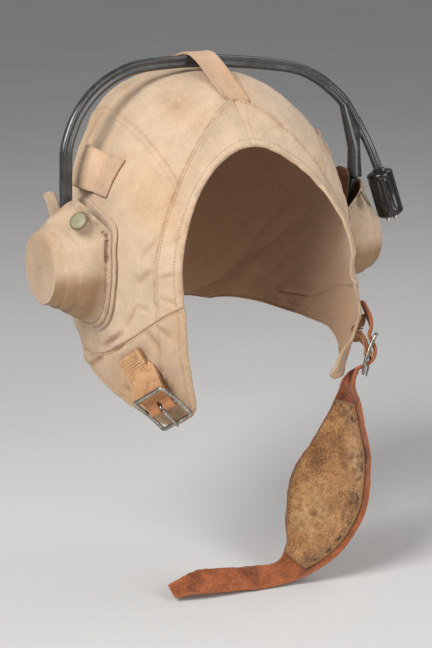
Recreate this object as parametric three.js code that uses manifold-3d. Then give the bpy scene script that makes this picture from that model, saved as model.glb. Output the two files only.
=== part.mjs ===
// A soft cloth flying helmet: sewn hood, two earphone cups, a rubber headset lead and a chin strap.
// Millimetres, +Z up, the face opening towards -Y, the wearer's right towards -X.
// The origin is the inside of the crown, where the helmet sits on the top of a head.
import * as THREE from "three";
import { mergeVertices } from "three/addons/utils/BufferGeometryUtils.js";
import Module from "manifold-3d";

const wasm = await Module();
wasm.setup();

const vec = (x, y, z) => new THREE.Vector3(x, y, z);
const lerp = THREE.MathUtils.lerp;
const clamp01 = (value) => THREE.MathUtils.clamp(value, 0, 1);
const rad = THREE.MathUtils.degToRad;

// Driving sizes.
const GAP = 0.3; // between neighbouring pieces
const CLOTH = 1.7; // wall of the hood
const SEAM_GAP = 0.2; // half the gap along a seam between two panels
const BACKING = 1.8; // cloth layer under an ear cup
const STRAP = 2.2; // leather of the chin strap
const STRAP_WIDTH = 19;
const LINING = 2; // lining of the chin cup
const WIRE = 2.4; // buckle frame and its centre bar

const COLOURS = {
  cloth: 0xd9b48c,
  leather: 0x7d4a2e,
  suede: 0xb98a5c,
  rubber: 0x2a2a2a,
  steel: 0xb8b8b4,
  brass: 0x8f8a63,
};

// The hood is a fan of arches from the face edge back to the nape.
// top: the arch's crown point on the centre line. side: its widest point. hem: its end on the right side.
// left: its end on the left side, where the fastened buckle draws the flap up.
// belly: how far that flap bulges.
// round: power of the curve between crown and side; 2 is an ellipse, more is squarer.
// sweep: how late the arch leaves the crown point's depth for the side's; more is later.
// ease: how late it leaves the side's width for the hem's.
const ARCHES = [
  { at: 0, topY: -67, topZ: -38.5, sideX: 60, sideY: -87, sideZ: -110, round: 1.75, sweep: 2.5, ease: 1.8,
    hemX: 50.5, hemY: -89, hemZ: -193, leftX: 53, leftY: -77, leftZ: -190, belly: 12 },
  { at: 0.1, topY: -42, topZ: -13, sideX: 70, sideY: -73, sideZ: -110, round: 1.5, sweep: 1, ease: 1.8,
    hemX: 57, hemY: -67, hemZ: -206, leftX: 68, leftY: -70, leftZ: -187, belly: 7 },
  { at: 0.26, topY: -16, topZ: -1, sideX: 80, sideY: -48, sideZ: -102, round: 2.1, sweep: 1.4, ease: 1.8,
    hemX: 67, hemY: -38, hemZ: -200, leftX: 74, leftY: -48, leftZ: -166, belly: 2 },
  { at: 0.42, topY: 12, topZ: 1.7, sideX: 86, sideY: -12, sideZ: -96, round: 2.3, sweep: 2, ease: 1.8,
    hemX: 75, hemY: -6, hemZ: -188, leftX: 77, leftY: -12, leftZ: -164, belly: 0 },
  { at: 0.53, topY: 38, topZ: -2.6, sideX: 86, sideY: 6, sideZ: -99, round: 2.25, sweep: 2, ease: 1.8,
    hemX: 76, hemY: 11, hemZ: -179, leftX: 77, leftY: 4, leftZ: -164, belly: 0 },
  { at: 0.6, topY: 54, topZ: -9, sideX: 84, sideY: 18, sideZ: -103, round: 2.2, sweep: 2, ease: 1.6,
    hemX: 76, hemY: 22, hemZ: -162, leftX: 76, leftY: 16, leftZ: -164, belly: 0 },
  { at: 0.76, topY: 86, topZ: -55, sideX: 74, sideY: 40, sideZ: -116, round: 2, sweep: 2, ease: 1.2,
    hemX: 70, hemY: 38, hemZ: -158, leftX: 70, leftY: 38, leftZ: -162, belly: 0 },
  { at: 0.89, topY: 93, topZ: -110, sideX: 57, sideY: 62, sideZ: -146, round: 2, sweep: 2, ease: 1,
    hemX: 59, hemY: 57, hemZ: -160, leftX: 59, leftY: 57, leftZ: -161, belly: 0 },
  { at: 1, topY: 82, topZ: -160, sideX: 33, sideY: 75, sideZ: -160.5, round: 2, sweep: 2, ease: 1,
    hemX: 46, hemY: 67, hemZ: -162, leftX: 46, leftY: 67, leftZ: -162, belly: 0 },
];
const SIDE_AT = 0.6; // where along a half arch its widest point lies

// A column of a table at position x, by a smooth curve through its rows (each row's position is row.at).
function column(table, name, x) {
  const last = table.length - 1;
  let k = table.findIndex((row) => row.at > x) - 1;
  if (k < 0) {
    k = x <= table[0].at ? 0 : last - 1;
  }
  const slope = (i) => {
    const before = table[Math.max(0, i - 1)];
    const after = table[Math.min(last, i + 1)];
    return (after[name] - before[name]) / (after.at - before.at);
  };
  const a = table[k];
  const b = table[k + 1];
  const width = b.at - a.at;
  const s = (x - a.at) / width;
  return (
    a[name] * (1 + 2 * s) * (1 - s) ** 2 +
    b[name] * (3 - 2 * s) * s ** 2 +
    slope(k) * width * s * (1 - s) ** 2 -
    slope(k + 1) * width * s ** 2 * (1 - s)
  );
}

// A point of the hood's outer face: u runs from the right hem (-1) over the crown (0) to the left hem (1),
// v from the face edge (0) to the nape hem (1).
function hood(u, v) {
  const side = u < 0 ? -1 : 1;
  const t = Math.abs(u);
  const c = (name) => column(ARCHES, name, v);
  if (t <= SIDE_AT) {
    const turn = (t / SIDE_AT) * (Math.PI / 2);
    const power = 2 / c("round");
    return vec(
      side * c("sideX") * Math.sin(turn) ** power,
      lerp(c("topY"), c("sideY"), Math.sin(turn) ** c("sweep")),
      lerp(c("sideZ"), c("topZ"), Math.max(0, Math.cos(turn)) ** power),
    );
  }
  const drop = (t - SIDE_AT) / (1 - SIDE_AT);
  const end = side < 0 ? "hem" : "left";
  const belly = side < 0 ? 0 : c("belly") * Math.sin(Math.PI * drop) ** 2;
  return vec(
    side * (lerp(c("sideX"), c(end + "X"), drop ** c("ease")) + belly),
    lerp(c("sideY"), c(end + "Y"), drop),
    lerp(c("sideZ"), c(end + "Z"), drop),
  );
}

// The outward normal of the hood at (u, v).
function hoodNormal(u, v) {
  const step = 1e-3;
  const u0 = Math.max(-1, u - step);
  const u1 = Math.min(1, u + step);
  const v0 = Math.max(0, v - step);
  const v1 = Math.min(1, v + step);
  const alongU = hood(u1, v).sub(hood(u0, v));
  const alongV = hood(u, v1).sub(hood(u, v0));
  return alongU.cross(alongV).normalize();
}

// A closed mesh from two facing grids of points: the outer face, the inner face and the four edges between.
function wall(outer, inner) {
  const rows = outer.length;
  const columns = outer[0].length;
  const points = [...outer.flat(), ...inner.flat()];
  const shift = rows * columns;
  const faces = [];
  const quad = (a, b, c, d) => faces.push(a, b, c, a, c, d);
  const id = (i, j) => i * columns + j;
  for (let i = 0; i + 1 < rows; i += 1) {
    for (let j = 0; j + 1 < columns; j += 1) {
      quad(id(i, j), id(i + 1, j), id(i + 1, j + 1), id(i, j + 1));
      quad(
        id(i, j + 1) + shift,
        id(i + 1, j + 1) + shift,
        id(i + 1, j) + shift,
        id(i, j) + shift,
      );
    }
  }
  const edge = (a, b) => quad(b, b + shift, a + shift, a);
  for (let i = 0; i + 1 < rows; i += 1) {
    edge(id(i + 1, 0), id(i, 0));
    edge(id(i, columns - 1), id(i + 1, columns - 1));
  }
  for (let j = 0; j + 1 < columns; j += 1) {
    edge(id(0, j), id(0, j + 1));
    edge(id(rows - 1, j + 1), id(rows - 1, j));
  }
  const geometry = new THREE.BufferGeometry().setFromPoints(points);
  geometry.setIndex(faces);
  return facingOut(geometry);
}

// The signed volume of a closed mesh tells whether its faces point outwards; they are turned if not.
function facingOut(geometry) {
  const flat = geometry.index ? geometry.toNonIndexed() : geometry;
  const p = flat.getAttribute("position");
  let volume = 0;
  for (let i = 0; i < p.count; i += 3) {
    const a = new THREE.Vector3().fromBufferAttribute(p, i);
    const b = new THREE.Vector3().fromBufferAttribute(p, i + 1);
    const c = new THREE.Vector3().fromBufferAttribute(p, i + 2);
    volume += a.dot(b.cross(c));
  }
  if (volume < 0) {
    const index = geometry.index.array;
    for (let i = 0; i < index.length; i += 3) {
      [index[i + 1], index[i + 2]] = [index[i + 2], index[i + 1]];
    }
  }
  return geometry;
}

// A closed mesh through rings of equal length, with a point that closes each end.
function loft(rings, start, end) {
  const around = rings[0].length;
  const points = [...rings.flat(), start, end];
  const first = rings.length * around;
  const faces = [];
  for (let i = 0; i < around; i += 1) {
    const j = (i + 1) % around;
    for (let k = 0; k + 1 < rings.length; k += 1) {
      const low = k * around;
      const high = low + around;
      faces.push(low + i, low + j, high + j, low + i, high + j, high + i);
    }
    const lastRing = first - around;
    faces.push(first, j, i, first + 1, lastRing + i, lastRing + j);
  }
  const geometry = new THREE.BufferGeometry().setFromPoints(points);
  geometry.setIndex(faces);
  return facingOut(geometry);
}

// A ribbon of cloth or leather: stations hold the middle of its width, the direction across it and its size.
// bowl sinks the ribbon's middle below its edges. share is the part of the width that the ribbon covers.
function ribbon(stations, thickness, columns, offset = 0) {
  const outer = [];
  const inner = [];
  stations.forEach((station, i) => {
    const before = stations[Math.max(0, i - 1)].middle;
    const after = stations[Math.min(stations.length - 1, i + 1)].middle;
    const along = after.clone().sub(before).normalize();
    const across = station.across.clone();
    across.addScaledVector(along, -across.dot(along)).normalize();
    const normal = along.clone().cross(across);
    const rowOut = [];
    const rowIn = [];
    for (let j = 0; j <= columns; j += 1) {
      const c = (station.share ?? 1) * ((2 * j) / columns - 1);
      const lift = (station.bowl ?? 0) * (c * c - 1) + offset;
      const point = station.middle.clone().addScaledVector(across, (c * station.width) / 2);
      rowOut.push(point.clone().addScaledVector(normal, lift + thickness / 2));
      rowIn.push(point.clone().addScaledVector(normal, lift - thickness / 2));
    }
    outer.push(rowOut);
    inner.push(rowIn);
  });
  return wall(outer, inner);
}

// A short flat strip of material from a foot to a tip.
function strip({ foot, tip, footWidth, tipWidth, thick }, across) {
  const stations = [0, 0.5, 1].map((s) => ({
    middle: foot.clone().lerp(tip, s),
    across,
    width: lerp(footWidth, tipWidth, s),
  }));
  return ribbon(stations, thick, 2);
}

// Solids for cutting and joining, and back to a geometry.
function toSolid(geometry) {
  const flat = geometry.index ? geometry.toNonIndexed() : geometry;
  const bare = new THREE.BufferGeometry();
  bare.setAttribute("position", flat.getAttribute("position"));
  const merged = mergeVertices(bare, 1e-4);
  const mesh = new wasm.Mesh({
    numProp: 3,
    vertProperties: merged.getAttribute("position").array,
    triVerts: new Uint32Array(merged.index.array),
  });
  return new wasm.Manifold(mesh);
}
function toGeometry(solid) {
  const mesh = solid.getMesh();
  const geometry = new THREE.BufferGeometry();
  geometry.setAttribute("position", new THREE.BufferAttribute(mesh.vertProperties, 3));
  geometry.setIndex(new THREE.BufferAttribute(mesh.triVerts, 1));
  return geometry;
}

// A straight round rod or disc between two points.
function rod(from, to, radiusFrom, radiusTo, sides = 12) {
  const along = to.clone().sub(from);
  const geometry = new THREE.CylinderGeometry(radiusTo, radiusFrom, along.length(), sides);
  const turn = new THREE.Quaternion().setFromUnitVectors(vec(0, 1, 0), along.clone().normalize());
  geometry.applyQuaternion(turn);
  const middle = from.clone().add(to).multiplyScalar(0.5);
  return geometry.translate(middle.x, middle.y, middle.z);
}

// A turned body: half is its profile as [radius, distance along the axis] pairs.
function turned(half, from, axis, sides) {
  const profile = half.map(([radius, at]) => new THREE.Vector2(radius, at));
  const geometry = new THREE.LatheGeometry(profile, sides);
  geometry.applyQuaternion(new THREE.Quaternion().setFromUnitVectors(vec(0, 1, 0), axis));
  return geometry.translate(from.x, from.y, from.z);
}

const group = new THREE.Group();
function add(name, geometry, colour, roughness = 0.9, metalness = 0) {
  const material = new THREE.MeshStandardMaterial({
    color: colour,
    roughness,
    metalness,
  });
  const mesh = new THREE.Mesh(geometry, material);
  mesh.name = name;
  group.add(mesh);
  return mesh;
}

// The hood's grid. Its lines run along v (face edge to nape) and along t (crown to hem, on each side).
// Seams lie on grid lines, so neighbouring panels share their corners.
const BROW_SEAM = 0.1; // v where the brow band ends
const NAPE_SEAM = 0.66; // v where the nape panel begins
const crownSeam = (v) => lerp(0.36, 0.26, clamp01(v / 0.5)); // t of the seam under the crown panel
// The seam above the chin flap: t at each v.
const CHIN_SEAM = [
  { at: 0, t: 0.69 },
  { at: 0.1, t: 0.722 },
  { at: 0.27, t: 0.834 },
  { at: 0.36, t: 0.895 },
  { at: 0.45, t: 0.93 },
  { at: 1, t: 0.93 },
];
const chinSeam = (v) => column(CHIN_SEAM, "t", v);
const LINES_V = { brow: 2, nape: 14, end: 20 }; // number of the grid line on each seam
const LINES_T = { crown: 5, chin: 12, hem: 15 };
const ARCH_LENGTH = 230; // about one half arch
const FAN_LENGTH = 240; // about face edge to nape
const T_GAP = SEAM_GAP / ARCH_LENGTH;
const V_GAP = SEAM_GAP / FAN_LENGTH;

// The value on grid line number k, where marks lists [line, value] pairs in order.
function lineValue(marks, k) {
  const next = marks.findIndex(([line]) => line >= k);
  if (next === 0) {
    return marks[0][1];
  }
  const [k0, a] = marks[next - 1];
  const [k1, b] = marks[next];
  return lerp(a, b, (k - k0) / (k1 - k0));
}
const vMarks = [[0, 0], [LINES_V.brow, BROW_SEAM], [LINES_V.nape, NAPE_SEAM], [LINES_V.end, 1]];
const tMarks = (v) => [[0, 0], [LINES_T.crown, crownSeam(v)], [LINES_T.chin, chinSeam(v)], [LINES_T.hem, 1]];

// A panel of cloth between grid lines t0..t1 and v0..v1, kept off its seams by half a seam gap.
// side is -1 or 1; a panel of both sides runs from -t1 to t1 and has side 0.
// above and below: where its two faces lie, from the hood's outer face.
function panel(side, t0, t1, v0, v1, above = 0, below = CLOTH) {
  const inset = (k, first, last, end) => {
    if (k === first && first > 0) {
      return 1;
    }
    return k === last && last < end ? -1 : 0;
  };
  const outer = [];
  const inner = [];
  for (let i = v0; i <= v1; i += 1) {
    const v = lineValue(vMarks, i) + V_GAP * inset(i, v0, v1, LINES_V.end);
    const rowOut = [];
    const rowIn = [];
    for (let j = side === 0 ? -t1 : t0; j <= t1; j += 1) {
      const k = Math.abs(j);
      let t = lineValue(tMarks(v), k) + T_GAP * inset(k, t0, t1, LINES_T.hem);
      if (side !== 0 && k === 0) {
        t = T_GAP;
      }
      const u = side === 0 ? Math.sign(j) * t : side * t;
      const point = hood(u, v);
      const normal = hoodNormal(u, v);
      rowOut.push(point.clone().addScaledVector(normal, above));
      rowIn.push(point.clone().addScaledVector(normal, -below));
    }
    outer.push(rowOut);
    inner.push(rowIn);
  }
  return wall(outer, inner);
}

const SIDES = [["right", -1], ["left", 1]];
for (const [word, side] of SIDES) {
  const T = LINES_T;
  const W = LINES_V;
  add("brow_band_" + word, panel(side, 0, T.chin, 0, W.brow), COLOURS.cloth);
  add("crown_" + word, panel(side, 0, T.crown, W.brow, W.nape), COLOURS.cloth);
  add("side_panel_" + word, panel(side, T.crown, T.chin, W.brow, W.nape), COLOURS.cloth);
  add("chin_flap_" + word, panel(side, T.chin, T.hem, 0, W.nape), COLOURS.cloth);
}
add("nape_panel", panel(0, 0, LINES_T.hem, LINES_V.nape, LINES_V.end), COLOURS.cloth);

// The place on one side of the hood at a given depth y and height z, with its outward normal.
function hoodAt(side, y, z) {
  const step = 1e-4;
  let t = 0.5;
  let v = 0.35;
  for (let i = 0; i < 30; i += 1) {
    const point = hood(side * t, v);
    const byT = hood(side * (t + step), v).sub(point).divideScalar(step);
    const byV = hood(side * t, v + step).sub(point).divideScalar(step);
    const missY = y - point.y;
    const missZ = z - point.z;
    const area = byT.y * byV.z - byV.y * byT.z;
    t = THREE.MathUtils.clamp(t + (0.8 * (missY * byV.z - byV.y * missZ)) / area, 0.1, 0.995);
    v = THREE.MathUtils.clamp(v + (0.8 * (byT.y * missZ - missY * byT.z)) / area, 0.002, 0.95);
  }
  return { point: hood(side * t, v), normal: hoodNormal(side * t, v) };
}

// Ear cups. A cup is a cloth pocket with a shield-shaped edge on the hood and a round flat disc outside.
const CUP = { y: -14, z: -112, plane: 86.6, around: 24 };
// The pocket's edge: its reach from the cup's centre by the angle from straight ahead (0) over the top (90).
// edge: of the backings and the left cup. lip: of the right cup, whose front lip rises to a peak before the lead.
const POCKET = [
  { at: 0, edge: 29, lip: 29 },
  { at: 22, edge: 32, lip: 32 },
  { at: 41, edge: 38.5, lip: 38.5 },
  { at: 55, edge: 36.6, lip: 41.5 },
  { at: 68, edge: 36, lip: 45 },
  { at: 76, edge: 36.4, lip: 41 },
  { at: 85, edge: 37.6, lip: 34 },
  { at: 97, edge: 38.2, lip: 32.4 },
  { at: 112, edge: 36, lip: 33.2 },
  { at: 125, edge: 36.6, lip: 35 },
  { at: 139, edge: 38, lip: 38 },
  { at: 160, edge: 32, lip: 32 },
  { at: 180, edge: 29.5, lip: 29.5 },
  { at: 222, edge: 32, lip: 32 },
  { at: 250, edge: 37, lip: 37 },
  { at: 270, edge: 39.5, lip: 39.5 },
  { at: 292, edge: 37, lip: 37 },
  { at: 318, edge: 31.5, lip: 31.5 },
  { at: 338, edge: 29, lip: 29 },
  { at: 360, edge: 29, lip: 29 },
];
// The mouth: how far its edge stands from the middle of the helmet at the top of the cup, on each side.
// From there the cloth runs straight to the disc, and the edge falls to the hood over the spread.
const MOUTH = { angle: 86, spread: 48, reach: 38, right: 105.5, left: 112.4 };
const DISC = { x: 117.2, radius: 20.4 };
// Rings of the cup. lift: distance off the backing. round: 0 is the pocket's edge, 1 a circle of the radius.
// scale: share of the edge's reach. under: how far below the outer face.
const CUP_OUTER = [
  { lift: 0, round: 0, radius: 0, scale: 1, under: 2 },
  { lift: 2, round: 0, radius: 0, scale: 1, under: 0 },
  { lift: 2.6, round: 0, radius: 0, scale: 0.91, under: 0 },
  { lift: 9, round: 0.5, radius: 30.5, scale: 0.85, under: 0 },
  { lift: 15.2, round: 0.85, radius: 27.6, scale: 0.8, under: 0 },
  { lift: 16.8, round: 0.95, radius: 26.4, scale: 0.8, under: 0 },
  { lift: 22.3, round: 1, radius: 24.6, scale: 0.8, under: 0 },
  { lift: 23.8, round: 1, radius: 23.4, scale: 0.8, under: 0 },
  { lift: 28.8, round: 1, radius: 22, scale: 0.8, under: 0 },
  { lift: 30.4, round: 1, radius: DISC.radius, scale: 0.8, under: 0 },
  { lift: 30.7, round: 1, radius: 10, scale: 0.8, under: -0.3 },
];
const CUP_INNER = [
  { lift: 0, round: 0, radius: 0, scale: 0.91, under: 2.2 },
  { lift: 6.4, round: 0.5, radius: 28, scale: 0.79, under: 2.2 },
  { lift: 13.6, round: 0.88, radius: 25, scale: 0.74, under: 2.2 },
  { lift: 21.4, round: 1, radius: 21.8, scale: 0.8, under: 2.2 },
  { lift: 28.2, round: 1, radius: 19.4, scale: 0.8, under: 2.2 },
];

// A point of a ring at an angle; seat is how far off the hood the pocket's edge lies.
function cupPoint(side, degrees, ring, seat) {
  const outline = column(POCKET, side < 0 && !ring.flat ? "lip" : "edge", degrees);
  const reach = lerp(outline * ring.scale, ring.radius, ring.round);
  const y = CUP.y - reach * Math.cos(rad(degrees));
  const z = CUP.z + reach * Math.sin(rad(degrees));
  const hoodX = Math.abs(hoodAt(side, y, z).point.x);
  const low = lerp(hoodX + seat, CUP.plane, ring.round) + ring.lift;
  const mouthX = side < 0 ? MOUTH.right : MOUTH.left;
  const tent = lerp(mouthX, DISC.x, clamp01((MOUTH.reach - reach) / (MOUTH.reach - DISC.radius)));
  const off = Math.abs(degrees - MOUTH.angle) / MOUTH.spread;
  const open = ring.flat ? 0 : Math.max(0, 1 - off ** 1.4);
  return vec(side * lerp(low, tent - ring.under, open), y, z);
}
function cupRing(side, ring, seat) {
  return Array.from({ length: CUP.around }, (_, i) => cupPoint(side, (360 * i) / CUP.around, ring, seat));
}
const CUP_SEAT = GAP + 0.2 + BACKING + GAP;
function earCup(side) {
  const outer = CUP_OUTER.map((ring) => cupRing(side, ring, CUP_SEAT)).reverse();
  const inner = CUP_INNER.map((ring) => cupRing(side, ring, CUP_SEAT));
  const outerPole = vec(side * (CUP.plane + 31), CUP.y, CUP.z);
  const innerPole = vec(side * (CUP.plane + 28.6), CUP.y, CUP.z);
  const pocket = loft([...outer, ...inner], outerPole, innerPole);
  return side < 0 ? toGeometry(toSolid(pocket).add(toSolid(strip(LIP_TAB, LIP_ACROSS)))) : pocket;
}
// A tab of the right pocket's cloth that stands up from the rear of its mouth.
const LIP_TAB = {
  foot: vec(-100.4, -2, -83.5),
  tip: vec(-103.2, 0, -68.5),
  footWidth: 7,
  tipWidth: 5.5,
  thick: 1.6,
};
const LIP_ACROSS = vec(0.85, -0.5, 0);
function earBacking(side) {
  const scales = [0.35, 0.7, 1.05];
  const ring = (lift, scale) => ({ lift, round: 0, radius: 0, scale, under: 0, flat: true });
  const face = (lift) => scales.map((scale) => cupRing(side, ring(lift, scale), GAP + 0.2));
  const centreX = Math.abs(hoodAt(side, CUP.y, CUP.z).point.x) + GAP + 0.2;
  const outerPole = vec(side * (centreX + BACKING), CUP.y, CUP.z);
  const innerPole = vec(side * centreX, CUP.y, CUP.z);
  return loft([...face(BACKING), ...face(0).reverse()], outerPole, innerPole);
}

// The snap cap on the front slope of a cup, near its mouth.
const SNAP = { right: vec(-97, -33, -82.3), left: vec(94, -33, -87), radius: 5.8, thick: 1.9 };
function snapOn(side, cup) {
  const normal = vec(side * 0.72, -0.42, 0.55).normalize();
  const cupSolid = toSolid(cup);
  const half = [
    [0, 0],
    [SNAP.radius, 0],
    [SNAP.radius, SNAP.thick * 0.6],
    [SNAP.radius * 0.72, SNAP.thick],
    [0, SNAP.thick],
  ];
  let away = 0;
  let cap;
  do {
    away += 0.25;
    const foot = (side < 0 ? SNAP.right : SNAP.left).clone().addScaledVector(normal, away);
    cap = turned(half, foot, normal, 16);
  } while (toSolid(cap).minGap(cupSolid, 2) < GAP);
  return cap;
}

for (const [word, side] of SIDES) {
  add("ear_backing_" + word, earBacking(side), COLOURS.cloth);
  const cup = earCup(side);
  add("ear_cup_" + word, cup, COLOURS.cloth);
  add("snap_" + word, snapOn(side, cup), COLOURS.brass, 0.5, 0.8);
}

// The headset lead: a twin-core rubber lead over the crown, from the right cup to the plug on its left end.
// share: its thickness there, as a share of the full one. It is one moulding with the boot of the left cup.
const LEAD = { thick: 8, wide: 6.4, around: 12, steps: 40 };
const LEAD_ROUTE = [
  { at: 0, x: -99, y: -16, z: -92, share: 1 },
  { at: 0.05, x: -100.3, y: -16.6, z: -75, share: 1 },
  { at: 0.11, x: -99.9, y: -16.5, z: -53, share: 1 },
  { at: 0.15, x: -99, y: -16, z: -41, share: 1 },
  { at: 0.19, x: -94.5, y: -14.5, z: -29.5, share: 1 },
  { at: 0.23, x: -88.3, y: -13, z: -19.4, share: 1 },
  { at: 0.28, x: -77.2, y: -11, z: -8.3, share: 1 },
  { at: 0.33, x: -62.7, y: -9, z: 0.2, share: 1 },
  { at: 0.39, x: -44.6, y: -7, z: 5.2, share: 1 },
  { at: 0.51, x: -1.6, y: -5, z: 6.9, share: 1 },
  { at: 0.6, x: 27.2, y: -5, z: 4.9, share: 1 },
  { at: 0.66, x: 49.2, y: -5, z: 2.4, share: 1 },
  { at: 0.72, x: 69.4, y: -6, z: -1.2, share: 1 },
  { at: 0.77, x: 84.4, y: -7, z: -8.1, share: 1 },
  { at: 0.8, x: 92.6, y: -8, z: -14.3, share: 1 },
  { at: 0.84, x: 100.5, y: -10, z: -21.8, share: 1 },
  { at: 0.88, x: 107.3, y: -12, z: -31.9, share: 0.94 },
  { at: 0.92, x: 113.5, y: -15, z: -42.8, share: 0.8 },
  { at: 0.97, x: 118.2, y: -19, z: -55.2, share: 0.78 },
  { at: 1, x: 122.2, y: -21.5, z: -67, share: 0.78 },
];
// A section of the lead: an oval of its two stacked cores, pinched along the groove.
function leadRing(middle, along, share) {
  const aside = vec(0, 1, 0).addScaledVector(along, -along.y).normalize();
  const outward = aside.clone().cross(along);
  return Array.from({ length: LEAD.around }, (_, i) => {
    const angle = (2 * Math.PI * i) / LEAD.around;
    const pinch = 1 - 0.16 * Math.cos(angle) ** 6;
    return middle
      .clone()
      .addScaledVector(outward, (LEAD.thick / 2) * share * Math.sin(angle))
      .addScaledVector(aside, (LEAD.wide / 2) * share * Math.cos(angle) * pinch);
  });
}
function leadArch() {
  const place = (s) => vec(...["x", "y", "z"].map((name) => column(LEAD_ROUTE, name, s)));
  const rings = [];
  for (let i = 0; i <= LEAD.steps; i += 1) {
    const s = i / LEAD.steps;
    const along = place(Math.min(1, s + 0.004)).sub(place(Math.max(0, s - 0.004))).normalize();
    rings.push(leadRing(place(s), along, column(LEAD_ROUTE, "share", s)));
  }
  return loft(rings, place(0), place(1));
}

// The moulded junction on the left: a web from the lead down to a boot, whose core enters the left cup.
const JUNCTION = {
  top: vec(101.6, -11, -26),
  middle: vec(108.6, -14, -41),
  boot: vec(106.9, -16, -53.5),
  bootEnd: vec(106.5, -17.6, -72.4),
  inside: vec(102.5, -15, -86),
};
const BOOT = { top: 4.2, end: 4.9, core: 2.4 };
function ball(middle, radius) {
  const geometry = new THREE.SphereGeometry(radius, 10, 6);
  return toSolid(geometry.translate(middle.x, middle.y, middle.z));
}
function headsetLead() {
  const web = wasm.Manifold.hull([
    ball(JUNCTION.top, 2.8),
    ball(JUNCTION.middle, 3),
    ball(JUNCTION.boot, BOOT.top),
  ]);
  const boot = toSolid(rod(JUNCTION.boot, JUNCTION.bootEnd, BOOT.top, BOOT.end));
  const coreTop = JUNCTION.bootEnd.clone().lerp(JUNCTION.boot, 0.1);
  const core = toSolid(rod(coreTop, JUNCTION.inside, BOOT.core, BOOT.core));
  return toGeometry(toSolid(leadArch()).add(web).add(boot).add(core));
}
add("headset_lead", headsetLead(), COLOURS.rubber, 0.55);

// The plug on the lead's end, with its two contacts.
const PLUG = { top: vec(122.4, -21.6, -67.6), foot: vec(130.8, -25.4, -97.8), radius: 8.7, neck: 4.2 };
const plugAxis = PLUG.foot.clone().sub(PLUG.top).normalize();
const plugAcross = vec(0.62, -0.75, 0.27).normalize();
const plugLength = PLUG.top.distanceTo(PLUG.foot);
const PLUG_HALF = [
  [0, 0],
  [PLUG.neck, 0],
  [PLUG.neck, 1.6],
  [PLUG.radius - 1, 2.2],
  [PLUG.radius, 3.4],
  [PLUG.radius, plugLength - 1.4],
  [PLUG.radius - 0.8, plugLength],
  [0, plugLength],
];
const CONTACT = { radius: 1.4, proud: 2.4, spread: 2.6 };
add("plug_body", turned(PLUG_HALF, PLUG.top, plugAxis, 20), COLOURS.rubber, 0.5);
[-1, 1].forEach((way, i) => {
  const foot = PLUG.foot.clone().addScaledVector(plugAcross, way * CONTACT.spread);
  foot.addScaledVector(plugAxis, GAP);
  const tip = foot.clone().addScaledVector(plugAxis, CONTACT.proud);
  const contact = rod(foot, tip, CONTACT.radius, CONTACT.radius * 0.7, 8);
  add("plug_contact_" + (i + 1), contact, COLOURS.steel, 0.3, 1);
});

// Keepers. The crown keeper is a strip sewn to the crown before and behind the lead, which it holds down.
// cut and slant: how much farther forward its front end reaches at its edges than in its middle.
const KEEPER = { width: 16, thick: 1.5, frontY: -44.7, backY: 34, cut: 2.6, slant: 1.3, rise: 10, humpY: -5, hump: 17, skew: -6 };
// The point of the crown above or below a place x, y of the plan.
function crownAt(x, y) {
  const place = (v) => {
    const share = (Math.abs(x) / column(ARCHES, "sideX", v)) ** (column(ARCHES, "round", v) / 2);
    return hood((Math.sign(x) * SIDE_AT * Math.asin(share)) / (Math.PI / 2), v);
  };
  let low = 0;
  let high = 0.6;
  for (let i = 0; i < 40; i += 1) {
    const middle = (low + high) / 2;
    if (place(middle).y < y) {
      low = middle;
    } else {
      high = middle;
    }
  }
  return place(low);
}
function crownKeeper() {
  const steps = 20;
  const across = 2;
  const outer = [];
  const inner = [];
  for (let i = 0; i <= steps; i += 1) {
    const y = lerp(KEEPER.frontY, KEEPER.backY, i / steps);
    const hump = Math.max(0, 1 - ((y - KEEPER.humpY) / (2 * KEEPER.hump)) ** 2) ** 2;
    const row = Array.from({ length: across + 1 }, (_, j) => {
      const c = (2 * j) / across - 1;
      const x = (KEEPER.skew * i) / steps + (KEEPER.width * c) / 2;
      const front = (1 - i / steps) * (KEEPER.cut * c ** 2 + KEEPER.slant * c);
      return crownAt(x, y - front).add(vec(0, 0, GAP + 0.5 + KEEPER.rise * hump));
    });
    inner.push(row);
    outer.push(row.map((point) => point.clone().add(vec(0, 0, KEEPER.thick * (1.25 - 0.25 * hump)))));
  }
  return wall(outer, inner);
}
add("crown_keeper", crownKeeper(), COLOURS.cloth);

// The side keepers: a strip on each temple, sewn at both ends, that stands off the hood as a loop between.
// from, to: the share of its length where the loop begins and ends.
const LOOP = { frontY: -34, backY: 12, frontZ: -58, backZ: -52, tall: 22, rise: 6.6, thick: 1.6 };
const LOOP_SPAN = { from: 0.3, to: 0.78 };
function sideKeeper(side) {
  const steps = 14;
  const across = 3;
  const outer = [];
  const inner = [];
  for (let i = 0; i <= steps; i += 1) {
    const s = i / steps;
    const inLoop = clamp01((s - LOOP_SPAN.from) / (LOOP_SPAN.to - LOOP_SPAN.from));
    const stand = GAP + 0.2 + LOOP.rise * Math.sin(Math.PI * inLoop) ** 0.7;
    const rowOut = [];
    const rowIn = [];
    for (let j = 0; j <= across; j += 1) {
      const c = j / across - 0.5;
      const y = lerp(LOOP.frontY, LOOP.backY, s) - 5 * c * (1 - s);
      const z = lerp(LOOP.frontZ, LOOP.backZ, s) + LOOP.tall * c;
      const { point, normal } = hoodAt(side, y, z);
      rowOut.push(point.clone().addScaledVector(normal, stand + LOOP.thick));
      rowIn.push(point.clone().addScaledVector(normal, stand));
    }
    outer.push(rowOut);
    inner.push(rowIn);
  }
  return wall(outer, inner);
}
for (const [word, side] of SIDES) {
  add("side_keeper_" + word, sideKeeper(side), COLOURS.cloth);
}

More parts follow.
